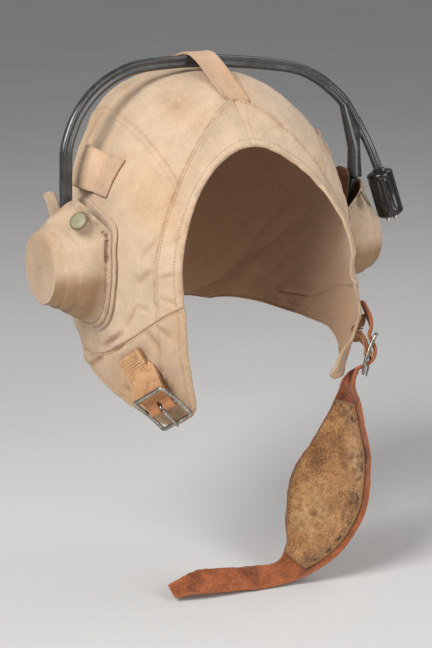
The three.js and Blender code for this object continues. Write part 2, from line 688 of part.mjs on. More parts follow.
// The leather tongue that stands in the left cup's mouth, before the boot.
const TONGUE = {
  foot: vec(91.3, -23.5, -86),
  tip: vec(94.6, -20.4, -64.5),
  footWidth: 9,
  tipWidth: 10,
  thick: 1.6,
};
add("pocket_tongue", strip(TONGUE, vec(0.87, -0.49, 0)), COLOURS.leather);

// Buckles: a frame with a centre bar, held by the chin tab's eye, and a prong that turns on the bar.
// along: the frame's length, from its lower bar up to its upper bar. bar: the bar's own direction.
const FRAME = { width: 26, length: 28, corner: 3, window: 20.8 };
const BUCKLES = {
  right: {
    middle: vec(-66.9, -76.3, -190.8),
    along: vec(-0.708, 0.141, 0.689),
    bar: vec(0.384, -0.752, 0.539),
  },
  left: {
    middle: vec(80.4, -75.4, -175.4),
    along: vec(0.378, 0.032, 0.925),
    bar: vec(0.542, 0.802, -0.25),
  },
};
for (const buckle of Object.values(BUCKLES)) {
  buckle.along.normalize();
  buckle.bar.addScaledVector(buckle.along, -buckle.bar.dot(buckle.along)).normalize();
  buckle.out = buckle.bar.clone().cross(buckle.along);
  buckle.matrix = new THREE.Matrix4().makeBasis(buckle.bar, buckle.along, buckle.out);
  buckle.matrix.setPosition(buckle.middle);
  buckle.at = (across, up, out) => vec(across, up, out).applyMatrix4(buckle.matrix);
}
function roundedBox(width, height, corner) {
  const x = width / 2 - corner;
  const y = height / 2 - corner;
  const shape = new THREE.Shape();
  const quarter = Math.PI / 2;
  [[x, -y], [x, y], [-x, y], [-x, -y]].forEach(([cx, cy], i) => {
    shape.absarc(cx, cy, corner, (i - 1) * quarter, i * quarter);
  });
  return shape;
}
function buckleFrame(buckle) {
  const bevel = 0.6;
  const shape = roundedBox(FRAME.width, FRAME.length, FRAME.corner);
  const tall = FRAME.length / 2 - WIRE * 1.5;
  for (const way of [-1, 1]) {
    const x = FRAME.window / 2;
    const near = (way * WIRE) / 2;
    const far = near + way * tall;
    const corners = [[-x, near], [x, near], [x, far], [-x, far]];
    shape.holes.push(new THREE.Path(corners.map(([a, b]) => new THREE.Vector2(a, b))));
  }
  const geometry = new THREE.ExtrudeGeometry(shape, {
    depth: WIRE - 2 * bevel,
    bevelThickness: bevel,
    bevelSize: bevel,
    bevelOffset: -bevel,
    bevelSegments: 1,
    curveSegments: 3,
  });
  return geometry.translate(0, 0, bevel - WIRE / 2).applyMatrix4(buckle.matrix);
}

// The prong, in the frame of its buckle: an eye round the bar and a tapered rod that rests on the lower bar.
const PRONG = { eye: 2.7, bore: 1.65, wide: 2.4, root: 1.05, tip: 0.75, length: 14.8, rest: 2.6 };
const barRod = (buckle, reach, radius) =>
  toSolid(rod(buckle.at(-reach, 0, 0), buckle.at(reach, 0, 0), radius, radius, 12));
function prongStem(buckle, grow) {
  const tip = buckle.at(0, -PRONG.length - grow, PRONG.rest);
  return toSolid(rod(buckle.at(0, -1, 1.2), tip, PRONG.root + grow, PRONG.tip + grow, 8));
}
function prong(buckle) {
  const eye = barRod(buckle, PRONG.wide / 2, PRONG.eye).add(prongStem(buckle, 0));
  return toGeometry(eye.subtract(barRod(buckle, 5, PRONG.bore)));
}

// A chin tab: a doubled strap whose eye goes round the bar, under the upper bar and up to its sewn end.
// via: [up, out] of its middle in the buckle's frame. sewn: [y, z] of its middle on the flap.
// rise: how far it stands off the flap. flare: how much wider its sewn end is than the strap.
const TAB = { thick: 3, eye: 2.85, steps: 11 };
function chinTab(side, buckle, { via, sewn, rise, flare }) {
  const places = sewn.map(([y, z]) => hoodAt(side, y, z));
  const lift = GAP + rise + TAB.thick / 2;
  const path = new THREE.CatmullRomCurve3([
    buckle.at(0, 0.6, -0.4),
    ...via.map(([up, out]) => buckle.at(0, up, out)),
    ...places.map(({ point, normal }) => point.clone().addScaledVector(normal, lift)),
  ]);
  const { normal } = places[places.length - 1];
  const flat = buckle.bar.clone().addScaledVector(normal, -buckle.bar.dot(normal)).normalize();
  const stations = Array.from({ length: TAB.steps + 1 }, (_, i) => ({
    middle: path.getPointAt(i / TAB.steps),
    across: buckle.bar.clone().lerp(flat, clamp01((1.5 * i) / TAB.steps - 0.3)),
    width: STRAP_WIDTH + flare * clamp01((2.5 * i) / TAB.steps - 0.5),
  }));
  const tab = toSolid(ribbon(stations, TAB.thick, 2));
  const half = STRAP_WIDTH / 2;
  const slot = toSolid(new THREE.BoxGeometry(PRONG.wide + 1.2, 8, 10).applyMatrix4(buckle.matrix));
  const eye = tab.add(barRod(buckle, half, TAB.eye)).subtract(barRod(buckle, half + 2, PRONG.bore));
  const flap = toSolid(panel(side, LINES_T.chin, LINES_T.hem, 0, LINES_V.nape, GAP, 5));
  return toGeometry(eye.subtract(slot).subtract(flap));
}
const RIGHT_TAB = { via: [[6.5, -2.2], [12.8, -3.5]], sewn: [[-54.4, -173.4], [-48.4, -162.6]], rise: 0.7, flare: 4 };
const LEFT_TAB = { via: [[5.2, -3.3], [8.6, -8.2]], sewn: [[-66.5, -163], [-63, -154]], rise: 0.4, flare: 0 };
add("chin_tab_right", chinTab(-1, BUCKLES.right, RIGHT_TAB), COLOURS.suede);
add("chin_tab_left", chinTab(1, BUCKLES.left, LEFT_TAB), COLOURS.suede);
for (const [word] of SIDES) {
  add("buckle_frame_" + word, buckleFrame(BUCKLES[word]), COLOURS.steel, 0.3, 1);
  add("buckle_prong_" + word, prong(BUCKLES[word]), COLOURS.steel, 0.3, 1);
}

// The chin strap, from its tip above the left buckle, through the frame to the chin cup and its tail.
// width: of the leather. across: the direction over its width. bowl: how far the chin cup's edges curl up.
const left = BUCKLES.left;
const towards = left.bar.clone().negate();
const under = WIRE / 2 + GAP + STRAP / 2;
const endAcross = vec(-0.45, -0.88, 0.15); // of the strap's free end, which lies along the flap
const STRAP_STATIONS = [
  { at: 0, middle: vec(80.8, -67.6, -143.6), across: endAcross, width: 13, bowl: 0 },
  { at: 0.035, middle: vec(83.6, -70.9, -152.4), across: endAcross, width: STRAP_WIDTH, bowl: 0 },
  { at: 0.075, middle: left.at(0, 16, -under - 0.4), across: towards, width: STRAP_WIDTH, bowl: 0 },
  { at: 0.1, middle: left.at(0, 11.3, -under - 0.15), across: towards, width: STRAP_WIDTH, bowl: 0 },
  { at: 0.14, middle: left.at(0, 4.8, 3), across: towards, width: STRAP_WIDTH, bowl: 0 },
  { at: 0.17, middle: left.at(0, -0.5, 4.5), across: towards, width: STRAP_WIDTH, bowl: 0 },
  { at: 0.2, middle: left.at(0, -5.6, 2.8), across: towards, width: STRAP_WIDTH, bowl: 0 },
  { at: 0.235, middle: left.at(0, -11.3, -under - 0.15), across: towards, width: STRAP_WIDTH, bowl: 0 },
  { at: 0.265, middle: left.at(0, -16, -under - 0.6), across: towards, width: STRAP_WIDTH, bowl: 0 },
  { at: 0.32, middle: vec(72.6, -67, -202.5), across: vec(0.1, -0.99, 0.12), width: STRAP_WIDTH, bowl: 1 },
  { at: 0.39, middle: vec(69.6, -65, -220.5), across: vec(0.36, -0.93, 0.13), width: 34, bowl: 4 },
  { at: 0.47, middle: vec(67.4, -63, -243.2), across: vec(0.48, -0.88, 0.1), width: 48, bowl: 8 },
  { at: 0.55, middle: vec(61.8, -62, -266.4), across: vec(0.55, -0.82, 0.17), width: 55.5, bowl: 9 },
  { at: 0.64, middle: vec(54.2, -61, -290), across: vec(0.55, -0.81, 0.2), width: 49, bowl: 8 },
  { at: 0.71, middle: vec(44.6, -61, -307.4), across: vec(0.49, -0.86, 0.1), width: 33, bowl: 4 },
  { at: 0.77, middle: vec(30.5, -61, -316.6), across: vec(0.14, -0.93, -0.35), width: 19, bowl: 1 },
  { at: 0.84, middle: vec(11, -60, -317.6), across: vec(-0.26, -0.79, -0.56), width: 16.5, bowl: 0 },
  { at: 0.9, middle: vec(-10.7, -58, -316), across: vec(-0.35, -0.77, -0.53), width: 16.5, bowl: 0 },
  { at: 0.95, middle: vec(-31, -56, -314.6), across: vec(-0.39, -0.76, -0.53), width: 17, bowl: 0 },
  { at: 1, middle: vec(-49, -53.5, -318), across: vec(-0.15, -0.87, -0.47), width: 10, bowl: 0 },
];
const STRAP_ROWS = STRAP_STATIONS.map(({ at, middle, across, width, bowl }) => ({
  at,
  x: middle.x,
  y: middle.y,
  z: middle.z,
  acrossX: across.x,
  acrossY: across.y,
  acrossZ: across.z,
  width,
  bowl,
}));
function strapStation(s, trim) {
  const c = (name) => column(STRAP_ROWS, name, s);
  return {
    middle: vec(c("x"), c("y"), c("z")),
    across: vec(c("acrossX"), c("acrossY"), c("acrossZ")).normalize(),
    width: c("width"),
    share: 1 - trim / c("width"),
    bowl: c("bowl"),
  };
}
function strapPart(from, to, steps, trim) {
  return Array.from({ length: steps + 1 }, (_, i) => strapStation(lerp(from, to, i / steps), trim));
}
const IN_BUCKLE = 0.28; // the share of the strap's table that lies above and in the buckle
// Stations below the buckle, and the first and last of those with a lining.
const BELOW = { steps: 22, liningFrom: 2, liningTo: 14 };
const belowStations = (trim) => strapPart(IN_BUCKLE, 1, BELOW.steps, trim);
const strapStations = [...strapPart(0, IN_BUCKLE, 24, 0), ...belowStations(0).slice(1)];
const strap = toSolid(ribbon(strapStations, STRAP, 4)).subtract(prongStem(left, 0.45));
add("chin_strap", toGeometry(strap), COLOURS.leather);

// The chin cup's lining lies in the bowl of the strap, inside its rim.
const LINING_TRIM = 7;
const liningOffset = (STRAP + LINING) / 2 + GAP + 0.6;
const liningStations = belowStations(LINING_TRIM).slice(BELOW.liningFrom, BELOW.liningTo + 1);
add("chin_cup_lining", ribbon(liningStations, LINING, 4, liningOffset), COLOURS.suede);

export default group;
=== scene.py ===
import math

import bmesh
import bpy
import numpy as np
from mathutils import Matrix, Vector


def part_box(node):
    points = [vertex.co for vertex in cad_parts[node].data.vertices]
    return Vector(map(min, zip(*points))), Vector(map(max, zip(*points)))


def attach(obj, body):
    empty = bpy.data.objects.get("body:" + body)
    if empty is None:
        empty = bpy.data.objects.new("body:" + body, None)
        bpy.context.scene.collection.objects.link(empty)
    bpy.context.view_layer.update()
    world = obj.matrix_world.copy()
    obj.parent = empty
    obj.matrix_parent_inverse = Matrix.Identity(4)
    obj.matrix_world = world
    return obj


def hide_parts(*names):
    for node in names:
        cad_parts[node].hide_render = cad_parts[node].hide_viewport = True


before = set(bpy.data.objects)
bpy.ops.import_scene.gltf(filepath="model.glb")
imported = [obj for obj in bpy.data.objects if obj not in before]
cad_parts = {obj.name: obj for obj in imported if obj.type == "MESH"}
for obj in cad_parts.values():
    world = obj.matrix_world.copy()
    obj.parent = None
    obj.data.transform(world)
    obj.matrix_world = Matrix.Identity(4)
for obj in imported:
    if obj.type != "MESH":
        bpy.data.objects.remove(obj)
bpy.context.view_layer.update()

MM = 0.001
HELMET = "helmet"
LOOSE_PRONG = "prong_right"
SIDES = (("right", -1), ("left", 1))


# Small tools for numbers.
def vec(x, y, z):
    return np.array([x, y, z], float)


def lerp(a, b, s):
    return a + (b - a) * s


def clamp01(x):
    return np.clip(x, 0, 1)


def smooth(x):
    s = clamp01(x)
    return s * s * (3 - 2 * s)


def bell(distance, width):
    """1 on a line, falling to 0 about two widths away from it."""
    return np.exp(-((distance / width) ** 2))


def plateau(distance, low, high, soft=0.5):
    """1 between low and high, 0 outside, with soft ends."""
    return smooth((distance - low) / soft + 0.5) * smooth((high - distance) / soft + 0.5)


def norm(v):
    return np.linalg.norm(v, axis=-1)


def unit(v):
    return v / np.maximum(norm(v)[..., None], 1e-9)


def floats(*values):
    """Numbers or arrays as arrays of one shape."""
    return np.broadcast_arrays(*(np.asarray(value, float) for value in values))


def full_turn(count):
    """Angles round a circle, in equal steps."""
    return np.linspace(0, 2 * math.pi, count, endpoint=False)


def gone_along(path):
    """The length of a path up to each of its points."""
    return np.concatenate([[0], np.cumsum(norm(np.diff(path, axis=0)))])


def table(names, *rows):
    """Rows of numbers under their column names; at, the position, counts the rows where it isn't given."""
    values = np.array(rows, float)
    columns = {name: values[:, i] for i, name in enumerate(names.split())}
    columns.setdefault("at", np.arange(len(rows), dtype=float))
    return columns


def each_row(rows):
    """The rows of a table one by one, by their column names."""
    return [dict(zip(rows, values)) for values in zip(*rows.values())]


def column(rows, name, x):
    """A column of a table at position x, by a smooth curve through its rows."""
    at = rows["at"]
    value = rows[name]
    last = len(at) - 1
    x = np.asarray(x, float)
    k = np.clip(np.searchsorted(at, x, side="right") - 1, 0, last - 1)
    before = np.maximum(np.arange(last + 1) - 1, 0)
    after = np.minimum(np.arange(last + 1) + 1, last)
    slope = (value[after] - value[before]) / (at[after] - at[before])
    width = at[k + 1] - at[k]
    s = (x - at[k]) / width
    return (
        value[k] * (1 + 2 * s) * (1 - s) ** 2
        + value[k + 1] * (3 - 2 * s) * s**2
        + slope[k] * width * s * (1 - s) ** 2
        - slope[k + 1] * width * s**2 * (1 - s)
    )


NOISE_CELLS = 4096
NOISE_STEPS = (73856093, 19349663, 83492791)  # primes that scatter the cells over the lattice


def soft_noise(points, size, seed):
    """Smooth noise between -1 and 1 whose lumps are about size across."""
    lattice = np.random.default_rng(seed).uniform(-1, 1, NOISE_CELLS)
    q = points / size
    cell = np.floor(q).astype(np.int64)
    f = q - cell
    f = f * f * (3 - 2 * f)
    total = np.zeros(points.shape[:-1])
    for dx in (0, 1):
        for dy in (0, 1):
            for dz in (0, 1):
                i, j, k = (cell[..., axis] + step for axis, step in enumerate((dx, dy, dz)))
                key = (i * NOISE_STEPS[0]) ^ (j * NOISE_STEPS[1]) ^ (k * NOISE_STEPS[2])
                weight = np.where(dx, f[..., 0], 1 - f[..., 0])
                weight = weight * np.where(dy, f[..., 1], 1 - f[..., 1])
                weight = weight * np.where(dz, f[..., 2], 1 - f[..., 2])
                total += weight * lattice[key % NOISE_CELLS]
    return total


def layered(points, layers):
    """Noise of several sizes added up, from rows of depth, size and seed."""
    return sum(depth * soft_noise(points, size, seed) for depth, size, seed in layers)


def graded(length, fine=0.5, zone=6.5, coarse=1.9):
    """Shares of a length, closer together near both ends."""
    if length < 2 * zone + coarse:
        return np.linspace(0, 1, max(3, int(length / fine / 1.6)))
    near = np.arange(0, zone, fine)
    count = max(2, int((length - 2 * zone) / coarse))
    middle = np.linspace(zone, length - zone, count + 1)
    return np.concatenate([near, middle, length - near[::-1]]) / length


# Finishes. Each is one material built from nodes on object coordinates, the cloth's own map or its marks.
# Colours are given as they are seen: red, green and blue from 0 to 255.
def srgb(red, green, blue):
    """A colour as it is seen, as the linear colour that a shader takes."""
    parts = [c / 255 for c in (red, green, blue)]
    line = [c / 12.92 if c <= 0.04045 else ((c + 0.055) / 1.055) ** 2.4 for c in parts]
    return (*line, 1.0)


def feed(tree, value, socket):
    """Links a node's output to a socket, or sets the socket to a number or a colour."""
    if isinstance(value, bpy.types.NodeSocket):
        tree.links.new(value, socket)
    else:
        socket.default_value = srgb(*value) if isinstance(value, tuple) else value


def add_node(tree, kind, feeds=(), **settings):
    """A new node with its settings and what feeds its sockets."""
    made = tree.nodes.new(kind)
    for name, value in settings.items():
        setattr(made, name, value)
    for socket, value in dict(feeds).items():
        feed(tree, value, made.inputs[socket])
    return made


class Finish:
    """A material under construction, with short names for the nodes that it needs."""

    def __init__(self, name, roughness, **sockets):
        self.material = bpy.data.materials.new(name)
        self.material.use_nodes = True
        self.tree = self.material.node_tree
        self.shader = self.tree.nodes["Principled BSDF"].inputs
        self.shader["Roughness"].default_value = roughness
        for socket, value in sockets.items():
            self.shader[socket.replace("_", " ")].default_value = value

    def place(self, source="Object", stretch=(1, 1, 1)):
        """Coordinates of the piece in metres, or of its map, stretched."""
        where = add_node(self.tree, "ShaderNodeTexCoord").outputs[source]
        feeds = {"Vector": where, "Scale": list(stretch)}
        return add_node(self.tree, "ShaderNodeMapping", feeds).outputs["Vector"]

    def noise(self, where, lump, detail, rough=0.55, twist=0.0):
        """Noise whose lumps are about that many millimetres across."""
        feeds = {"Vector": where, "Scale": 1 / (lump * MM), "Detail": detail, "Roughness": rough}
        feeds["Distortion"] = twist
        return add_node(self.tree, "ShaderNodeTexNoise", feeds).outputs[0]

    def mark(self, name):
        return add_node(self.tree, "ShaderNodeAttribute", attribute_name=name).outputs["Fac"]

    def ramp(self, value, *stops):
        """Maps a value through (position, colour or level) stops."""
        made = add_node(self.tree, "ShaderNodeValToRGB", {"Fac": value})
        elements = made.color_ramp.elements
        while len(elements) < len(stops):
            elements.new(0.5)
        for element, (position, colour) in zip(elements, stops):
            element.position = position
            element.color = srgb(*colour) if isinstance(colour, tuple) else (colour, colour, colour, 1)
        return made.outputs["Color"]

    def mix(self, share, a, b, blend="MIX"):
        feeds = {0: share, 6: a, 7: b}
        return add_node(self.tree, "ShaderNodeMix", feeds, data_type="RGBA", blend_type=blend).outputs[2]

    def sum(self, a, b, operation="ADD"):
        return add_node(self.tree, "ShaderNodeMath", {0: a, 1: b}, operation=operation).outputs[0]

    def patches(self, noise, low, high):
        """0 where a noise is under low and 1 where it is over high."""
        return self.ramp(noise, (low, 0.0), (high, 1.0))

    def times(self, a, b):
        return self.sum(a, b, "MULTIPLY")

    def colour(self, value):
        feed(self.tree, value, self.shader["Base Color"])

    def gloss(self, value):
        feed(self.tree, value, self.shader["Roughness"])

    def bump(self, *layers):
        """Bumps from (height, depth in millimetres) layers, one over the other."""
        under = {}
        for height, depth in layers:
            feeds = {"Strength": 1, "Distance": depth * MM, "Height": height, **under}
            under = {"Normal": add_node(self.tree, "ShaderNodeBump", feeds).outputs["Normal"]}
        feed(self.tree, under["Normal"], self.shader["Normal"])


SHADE_TINT = (206, 188, 164)  # the tint that painted shade multiplies into the cloth


def cloth_finish(name, base, stain, dark, inside, thread=0.7, soil_and_shade=0.6):
    """Faded cotton: mottled colour, stains, dirt along seams and hems with painted shade in creases and gaps,
    painted shade by the shade tint, a fine weave and a browner inside that is painted shade.
    """
    f = Finish(name, 0.92, Sheen_Weight=0.18, Sheen_Roughness=0.6, Specular_IOR_Level=0.25)
    where = f.place()
    cloudy = f.noise(where, 60, 3, 0.55, 0.4)
    mottled = f.noise(where, 11, 4, 0.6)
    base = f.mix(f.patches(cloudy, 0.46, 0.72), base, stain)
    shade = f.ramp(mottled, (0.3, 0.87), (0.7, 1.05))
    base = f.mix(1.0, base, shade, "MULTIPLY")
    flecks = f.ramp(f.noise(where, 2.4, 2, 0.7), (0.2, 0.9), (0.55, 1.0), (0.8, 1.05))
    base = f.mix(0.7, base, flecks, "MULTIPLY")
    # This mark carries painted shade too: in the creases and in the cups' frayed gap, beside real soil.
    soiled_and_shaded = f.times(f.mark("soil_and_shade"), f.patches(f.noise(where, 5, 4, 0.7), 0.35, 0.7))
    base = f.mix(f.times(soiled_and_shaded, soil_and_shade), base, dark)
    # Painted shade: where this mark is set, the cloth is darkened by the shade tint.
    base = f.mix(f.mark("painted_shade"), base, f.mix(1.0, base, SHADE_TINT, "MULTIPLY"))
    # The inside colour is painted shade: a darker, browner copy of the cloth for its inner faces.
    base = f.mix(f.mark("inside"), base, inside)
    f.colour(base)
    warp = f.noise(f.place("UV", (1, 0.1, 1)), thread, 2, 0.6)
    weft = f.noise(f.place("UV", (0.1, 1, 1)), thread, 2, 0.6)
    f.bump((f.sum(warp, weft), 0.28), (mottled, 0.35), (f.noise(where, 4.5, 3, 0.6), 0.18))
    return f.material


def suede_finish(name, light, middle, deep, nap, lump, fine=0.4, edge=None, blush=None, rubbed_and_shaded=None):
    """Napped leather: blotched colour and a rough fibrous surface.

    fine is how much its small grain shows in its colour. edge is the colour of its cut edges, blush of
    its faded or redder part and rubbed of its worn patches, which are also painted shade.
    """
    f = Finish(name, 0.9, Sheen_Weight=0.25, Sheen_Roughness=0.5, Specular_IOR_Level=0.25)
    where = f.place()
    blotch = f.noise(where, 13, 5, 0.65, 0.6)
    grain = f.noise(where, lump, 3, 0.7)
    both = f.sum(f.times(blotch, 1 - fine), f.times(grain, fine))
    base = f.ramp(both, (0.36, deep), (0.5, middle), (0.62, light))
    if blush:
        base = f.mix(f.mark("blush"), base, blush)
    if rubbed_and_shaded:
        # Worn patches that are also painted shade, where the mark is set.
        patch = f.patches(f.noise(where, 4.5, 4, 0.7), 0.48, 0.62)
        base = f.mix(f.times(f.mark("rubbed_and_shaded"), patch), base, rubbed_and_shaded)
    if edge:
        base = f.mix(f.mark("edge"), base, edge)
    f.colour(base)
    f.bump((grain, nap), (f.noise(where, 0.7, 2, 0.6), nap * 0.4))
    return f.material


def rubber_finish(name, colour, worn, roughness, shine, grain):
    """Black rubber or moulded resin with dull dusty patches and fine scuffs."""
    f = Finish(name, roughness, Specular_IOR_Level=shine)
    where = f.place()
    dust = f.patches(f.noise(where, 9, 5, 0.65), 0.45, 0.75)
    scuffs = f.patches(f.noise(f.place(stretch=(1, 1, 0.25)), 1.6, 4, 0.7), 0.55, 0.72)
    f.colour(f.mix(f.times(f.sum(dust, scuffs), 0.35), colour, worn))
    f.gloss(f.ramp(dust, (0.0, roughness), (1.0, roughness + 0.16)))
    f.bump((f.noise(where, 4, 3, 0.6), grain))
    return f.material


def metal_finish(name, bright, dull, roughness):
    """Nickel-plated wire, dulled in patches."""
    f = Finish(name, roughness, Metallic=1.0)
    where = f.place()
    worn = f.patches(f.noise(where, 4, 4, 0.65), 0.42, 0.7)
    f.colour(f.mix(worn, bright, dull))
    f.gloss(f.ramp(worn, (0.0, roughness), (1.0, roughness + 0.25)))
    f.bump((f.noise(where, 1.2, 3, 0.6), 0.05))
    return f.material


def enamel_finish(name, paint, bare):
    """Old enamel on a snap cap, chipped towards its rim."""
    f = Finish(name, 0.45, Specular_IOR_Level=0.5)
    where = f.place()
    chips = f.patches(f.noise(where, 3.2, 5, 0.7), 0.55, 0.66)
    painted = f.mix(f.times(chips, 0.6), paint, bare)
    f.colour(f.mix(f.mark("edge"), painted, bare))
    f.bump((f.noise(where, 1.5, 3, 0.6), 0.12))
    return f.material


# The inside colours of these finishes are painted shade for inner faces and hollows.
TWILL = cloth_finish("hood_twill", (211, 184, 154), (206, 170, 132), (158, 110, 70), (164, 128, 97), soil_and_shade=0.5)
KEEPER = cloth_finish(
    "keeper_cloth", (213, 179, 147), (203, 163, 126), (146, 100, 64), (140, 104, 76), soil_and_shade=0.4,
)
CUP = cloth_finish("cup_cloth", (203, 177, 148), (190, 158, 124), (120, 78, 48), (96, 70, 48), 0.9)
PALE_THREAD = cloth_finish("pale_thread", (196, 162, 126), (184, 146, 110), (130, 92, 60), (130, 92, 60), 0.4)
THREAD = cloth_finish("thread", (174, 132, 92), (156, 114, 76), (110, 74, 46), (120, 84, 54), 0.4)
DARK_THREAD = cloth_finish("dark_thread", (120, 72, 42), (90, 52, 30), (60, 34, 20), (60, 34, 20), 0.4)
TAB_THREAD = cloth_finish("tab_thread", (222, 184, 134), (200, 158, 108), (140, 96, 58), (140, 96, 58), 0.4)
TAB_LEATHER = suede_finish(
    "tab_leather", (216, 172, 126), (202, 154, 108), (162, 114, 72), 0.5, 1.3,
    edge=(112, 66, 36), blush=(176, 120, 78),
)
SUEDE = suede_finish(
    "strap_suede", (190, 108, 55), (150, 80, 39), (88, 44, 21), 0.8, 1.2, edge=(176, 102, 60),
)
CHAMOIS = suede_finish(
    "chamois", (219, 167, 109), (170, 119, 73), (86, 57, 34), 1.0, 0.95, 0.55,
    edge=(150, 110, 72), blush=(224, 185, 130), rubbed_and_shaded=(62, 44, 30),
)
BROWN = suede_finish("brown_leather", (120, 78, 48), (92, 56, 34), (56, 34, 22), 0.3, 1.2)
RUBBER = rubber_finish("lead_rubber", (34, 35, 36), (88, 88, 88), 0.28, 1.0, 0.04)
RESIN = rubber_finish("plug_resin", (20, 18, 18), (50, 43, 39), 0.18, 0.7, 0.04)
NICKEL = metal_finish("nickel", (184, 178, 168), (98, 90, 80), 0.2)
CONTACT_STEEL = metal_finish("contact_steel", (226, 222, 214), (170, 164, 154), 0.16)
ENAMEL = enamel_finish("snap_enamel", (148, 143, 113), (104, 86, 60))


# Meshes.
def add_object(name, data):
    """A new object in the scene."""
    obj = bpy.data.objects.new(name, data)
    bpy.context.scene.collection.objects.link(obj)
    return obj


def add_mesh(name, points, edges, faces):
    """A new mesh, from points in millimetres."""
    mesh = bpy.data.meshes.new(name)
    mesh.from_pydata((points * MM).tolist(), edges, faces)
    return mesh


def applied(obj):
    """The mesh that an object's modifiers make; the object itself is removed."""
    made = bpy.data.meshes.new_from_object(obj.evaluated_get(bpy.context.evaluated_depsgraph_get()))
    bpy.data.objects.remove(obj)
    return made


def facing_out(points, faces):
    """Turns all faces of a closed shape round if they point inwards."""
    volume = 0.0
    for corners in (3, 4):
        some = np.array([f for f in faces if len(f) == corners], int)
        for k in range(1, corners - 1):
            if len(some):
                a, b, c = points[some[:, 0]], points[some[:, k]], points[some[:, k + 1]]
                volume += np.einsum("ij,ij->", a, np.cross(b, c))
    return faces if volume > 0 else [f[::-1] for f in faces]


def unwrapped(mesh, uv, wrap):
    """The map's corners, with those past the end of a closed round carried on instead of starting again."""
    if wrap is None:
        return uv
    first = np.empty(len(mesh.polygons), np.int32)
    total = np.empty(len(mesh.polygons), np.int32)
    mesh.polygons.foreach_get("loop_start", first)
    mesh.polygons.foreach_get("loop_total", total)
    farthest = np.repeat(np.maximum.reduceat(uv[:, 0], first), total)
    uv[:, 0] += np.where(farthest - uv[:, 0] > wrap / 2, wrap, 0)
    return uv


def piece(name, shape, material, nodes=(), body=HELMET, uv=None, marks=None, wrap=None):
    """A finished piece: its points in millimetres and faces, its finish and the solids that it stands for.

    wrap is the length round a closed piece, where its map begins again.
    """
    points, faces = shape
    mesh = add_mesh(name, points, [], facing_out(points, faces))
    if uv is not None:
        corner = np.empty(len(mesh.loops), np.int32)
        mesh.loops.foreach_get("vertex_index", corner)
        layer = mesh.uv_layers.new(name="cloth")
        layer.data.foreach_set("uv", (unwrapped(mesh, uv[corner], wrap) * MM).astype(np.float32).ravel())
    for key, values in (marks or {}).items():
        attribute = mesh.attributes.new(key, "FLOAT", "POINT")
        attribute.data.foreach_set("value", np.asarray(values, np.float32))
    mesh.polygons.foreach_set("use_smooth", np.ones(len(mesh.polygons), bool))
    mesh.materials.append(material)
    obj = add_object(name, mesh)
    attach(obj, body)
    if nodes:
        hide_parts(*nodes)
    return obj


def wall(outer, inner, bulge=0.4):
    """A closed sheet between two grids of points, with a rounded rim.

    Returns its points and faces, and for each point its grid place and its depth, 0 outside and 1 inside.
    """
    rows, columns = outer.shape[:2]
    count = rows * columns
    grid = np.arange(count).reshape(rows, columns)
    corners = (grid[:-1, :-1], grid[1:, :-1], grid[1:, 1:], grid[:-1, 1:])
    face = np.stack(corners, -1).reshape(-1, 4)
    loop = np.concatenate([grid[0, :-1], grid[:-1, -1], grid[-1, :0:-1], grid[:0:-1, 0]])
    away = np.zeros_like(outer)
    away[0] += unit(outer[0] - outer[1])
    away[-1] += unit(outer[-1] - outer[-2])
    away[:, 0] += unit(outer[:, 0] - outer[:, 1])
    away[:, -1] += unit(outer[:, -1] - outer[:, -2])
    flat_out = outer.reshape(-1, 3)
    flat_in = inner.reshape(-1, 3)
    thick = norm(flat_out[loop] - flat_in[loop])[:, None]
    rim = (flat_out[loop] + flat_in[loop]) / 2 + unit(away.reshape(-1, 3)[loop]) * thick * bulge
    rim_id = 2 * count + np.arange(len(loop))
    after = np.roll(loop, -1)
    rim_after = np.roll(rim_id, -1)
    edges = [
        np.stack([after, rim_after, rim_id, loop], 1),
        np.stack([rim_after, after + count, loop + count, rim_id], 1),
    ]
    faces = np.concatenate([face, face[:, ::-1] + count, *edges]).tolist()
    points = np.concatenate([flat_out, flat_in, rim])
    source = np.concatenate([np.arange(count), np.arange(count), loop])
    depth = np.concatenate([np.zeros(count), np.ones(count), np.full(len(loop), 0.5)])
    return (points, faces), source, depth


def skin(rings, closed=False):
    """A closed shape through rings of points; open ends are closed with a point in their middle."""
    count, around = rings.shape[:2]
    grid = np.arange(count * around).reshape(count, around)
    if closed:
        grid = np.concatenate([grid, grid[:1]])
    side = np.roll(grid, -1, axis=1)
    faces = np.stack([grid[:-1], side[:-1], side[1:], grid[1:]], -1).reshape(-1, 4).tolist()
    points = rings.reshape(-1, 3)
    if not closed:
        first, last = len(points), len(points) + 1
        points = np.concatenate([points, rings[:1].mean(1), rings[-1:].mean(1)])
        faces += np.stack([side[0], grid[0], np.full(around, first)], 1).tolist()
        faces += np.stack([grid[-1], side[-1], np.full(around, last)], 1).tolist()
    return points, faces


def along_path(path, closed=False):
    """The direction of a path at each of its points."""
    if closed:
        return unit(np.roll(path, -1, 0) - np.roll(path, 1, 0))
    return unit(np.gradient(path, axis=0))


def tube(path, section, aside, closed=False):
    """A solid along a path: section(angle) gives its size along aside and along the third direction."""
    tangent = along_path(path, closed)
    aside = np.broadcast_to(np.asarray(aside, float), path.shape)
    aside = unit(aside - tangent * np.sum(aside * tangent, 1, keepdims=True))
    third = np.cross(aside, tangent)
    wide, tall = section
    return skin(path[:, None] + aside[:, None] * wide[..., None] + third[:, None] * tall[..., None], closed)


def round_section(radius, count, sides, flat=1.0):
    """A round section for each of count points; flat squeezes it along the third direction."""
    angle = full_turn(sides)
    radius = np.broadcast_to(np.asarray(radius, float), (count,))[:, None]
    return radius * np.cos(angle), radius * flat * np.sin(angle)


def resampled(path, step):
    """The same path with points about one step apart."""
    length = gone_along(path)
    where = np.linspace(0, length[-1], max(3, int(length[-1] / step) + 1))
    return np.stack([np.interp(where, length, path[:, i]) for i in range(3)], 1)


